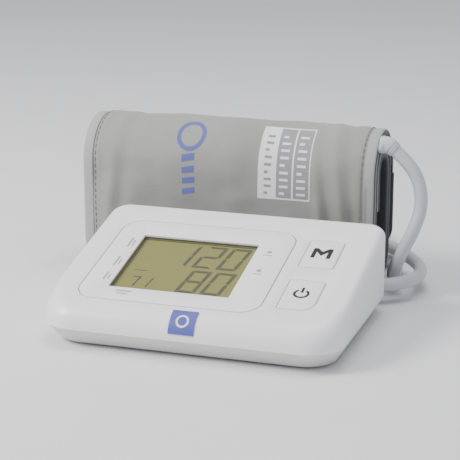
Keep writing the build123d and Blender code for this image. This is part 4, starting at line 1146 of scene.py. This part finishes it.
def cuff_shape(name, polys, h0, h1, material, body="cuff"):
    """Free outlines [(x, arc length), ...] printed on the outer turn, cut into fine strips."""
    verts, faces, uvs = [], [], []
    for poly in polys:
        bm = bmesh.new()
        f = bm.faces.new([bm.verts.new((x, q, 0)) for x, q in poly])
        lo, hi = min(q for _, q in poly), max(q for _, q in poly)
        c = lo + 1.2
        while c < hi:
            bmesh.ops.bisect_plane(bm, geom=bm.verts[:] + bm.edges[:] + bm.faces[:], plane_co=(0, c, 0), plane_no=(0, 1, 0))
            c += 1.2
        lo, hi = min(x for x, _ in poly), max(x for x, _ in poly)
        c = lo + 1.5
        while c < hi:
            bmesh.ops.bisect_plane(bm, geom=bm.verts[:] + bm.edges[:] + bm.faces[:], plane_co=(c, 0, 0), plane_no=(1, 0, 0))
            c += 1.5
        bm.verts.index_update()
        o, n = len(verts), len(bm.verts)
        bm.verts.ensure_lookup_table()
        for layer in (h1, h0):
            for v in bm.verts:
                p, nr = at_arc(v.co.y, v.co.x)
                verts.append(p + nr * layer)
                uvs.append((v.co.x * MM, v.co.y * MM))
        for f in bm.faces:
            q = [v.index for v in f.verts]
            faces += [tuple(o + k for k in q), tuple(o + n + k for k in reversed(q))]
        for e in bm.edges:
            if len(e.link_faces) == 1:
                a, b = e.verts[0].index, e.verts[1].index
                faces.append((o + a, o + b, o + n + b, o + n + a))
        bm.free()
    ob = new_mesh(name, verts, faces, material)
    uvl = ob.data.uv_layers.new(name="UVMap")
    for lp in ob.data.loops:
        uvl.data[lp.index].uv = uvs[lp.vertex_index]
    fix_normals(ob)
    sharp_by_angle(ob, 50)
    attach(ob, body)
    return ob


# plain printed mark: a ring over a row of slanted bars
def ring_parts(x0, s0, r0, r1, n=28):
    parts = []
    for k in range(n):
        a, b = 2 * math.pi * k / n, 2 * math.pi * (k + 1) / n
        parts.append([(x0 + r * math.cos(t), s0 + r * math.sin(t)) for r, t in ((r0, a), (r1, a), (r1, b), (r0, b))])
    return parts


MK = -17.0
shapes = ring_parts(MK - 1.7, S_TOP + 15.5, 5.6, 7.6)
for k in range(4):
    q = S_TOP - 13.0 + 5.4 * k
    shapes.append([(MK - 5.0, q), (MK + 1.6, q + 1.2), (MK + 1.6, q + 4.2), (MK - 5.0, q + 3.0)])
cuff_shape("printed_mark", shapes, -0.05, 0.12, M["label_blue"])

# ----------------------------------------------------------- floor and light
fl = new_mesh("floor", [(-1500, -1500, 0), (1500, -1500, 0), (1500, 1500, 0), (-1500, 1500, 0)], [(0, 1, 2, 3)], mat("floor_pale", lin(226, 226, 228), 0.7, bump=0.02, vary=0.01))
fl.location.z = -0.0001
world = bpy.data.worlds.new("studio")
scene.world = world
world.use_nodes = True
bg = world.node_tree.nodes["Background"]
bg.inputs["Color"].default_value = (0.93, 0.95, 1.0, 1)
bg.inputs["Strength"].default_value = 0.66


def area(name, loc, to, size, power, color=(1, 1, 1)):
    ld = bpy.data.lights.new(name, "AREA")
    ld.energy = power
    ld.size = size
    ld.color = color
    o = bpy.data.objects.new(name, ld)
    scene.collection.objects.link(o)
    o.location = loc
    o.rotation_euler = (Vector(to) - Vector(loc)).to_track_quat("-Z", "Y").to_euler()


area("key_light", (-0.75, -0.45, 0.75), (0, 0, 0.03), 0.42, 15.0, (1.0, 0.99, 0.97))
area("top_light", (0.05, 0.15, 1.1), (0, 0, 0.03), 0.6, 6.0)
area("fill_light", (0.7, -0.8, 0.5), (0, 0, 0.03), 0.8, 0.9)
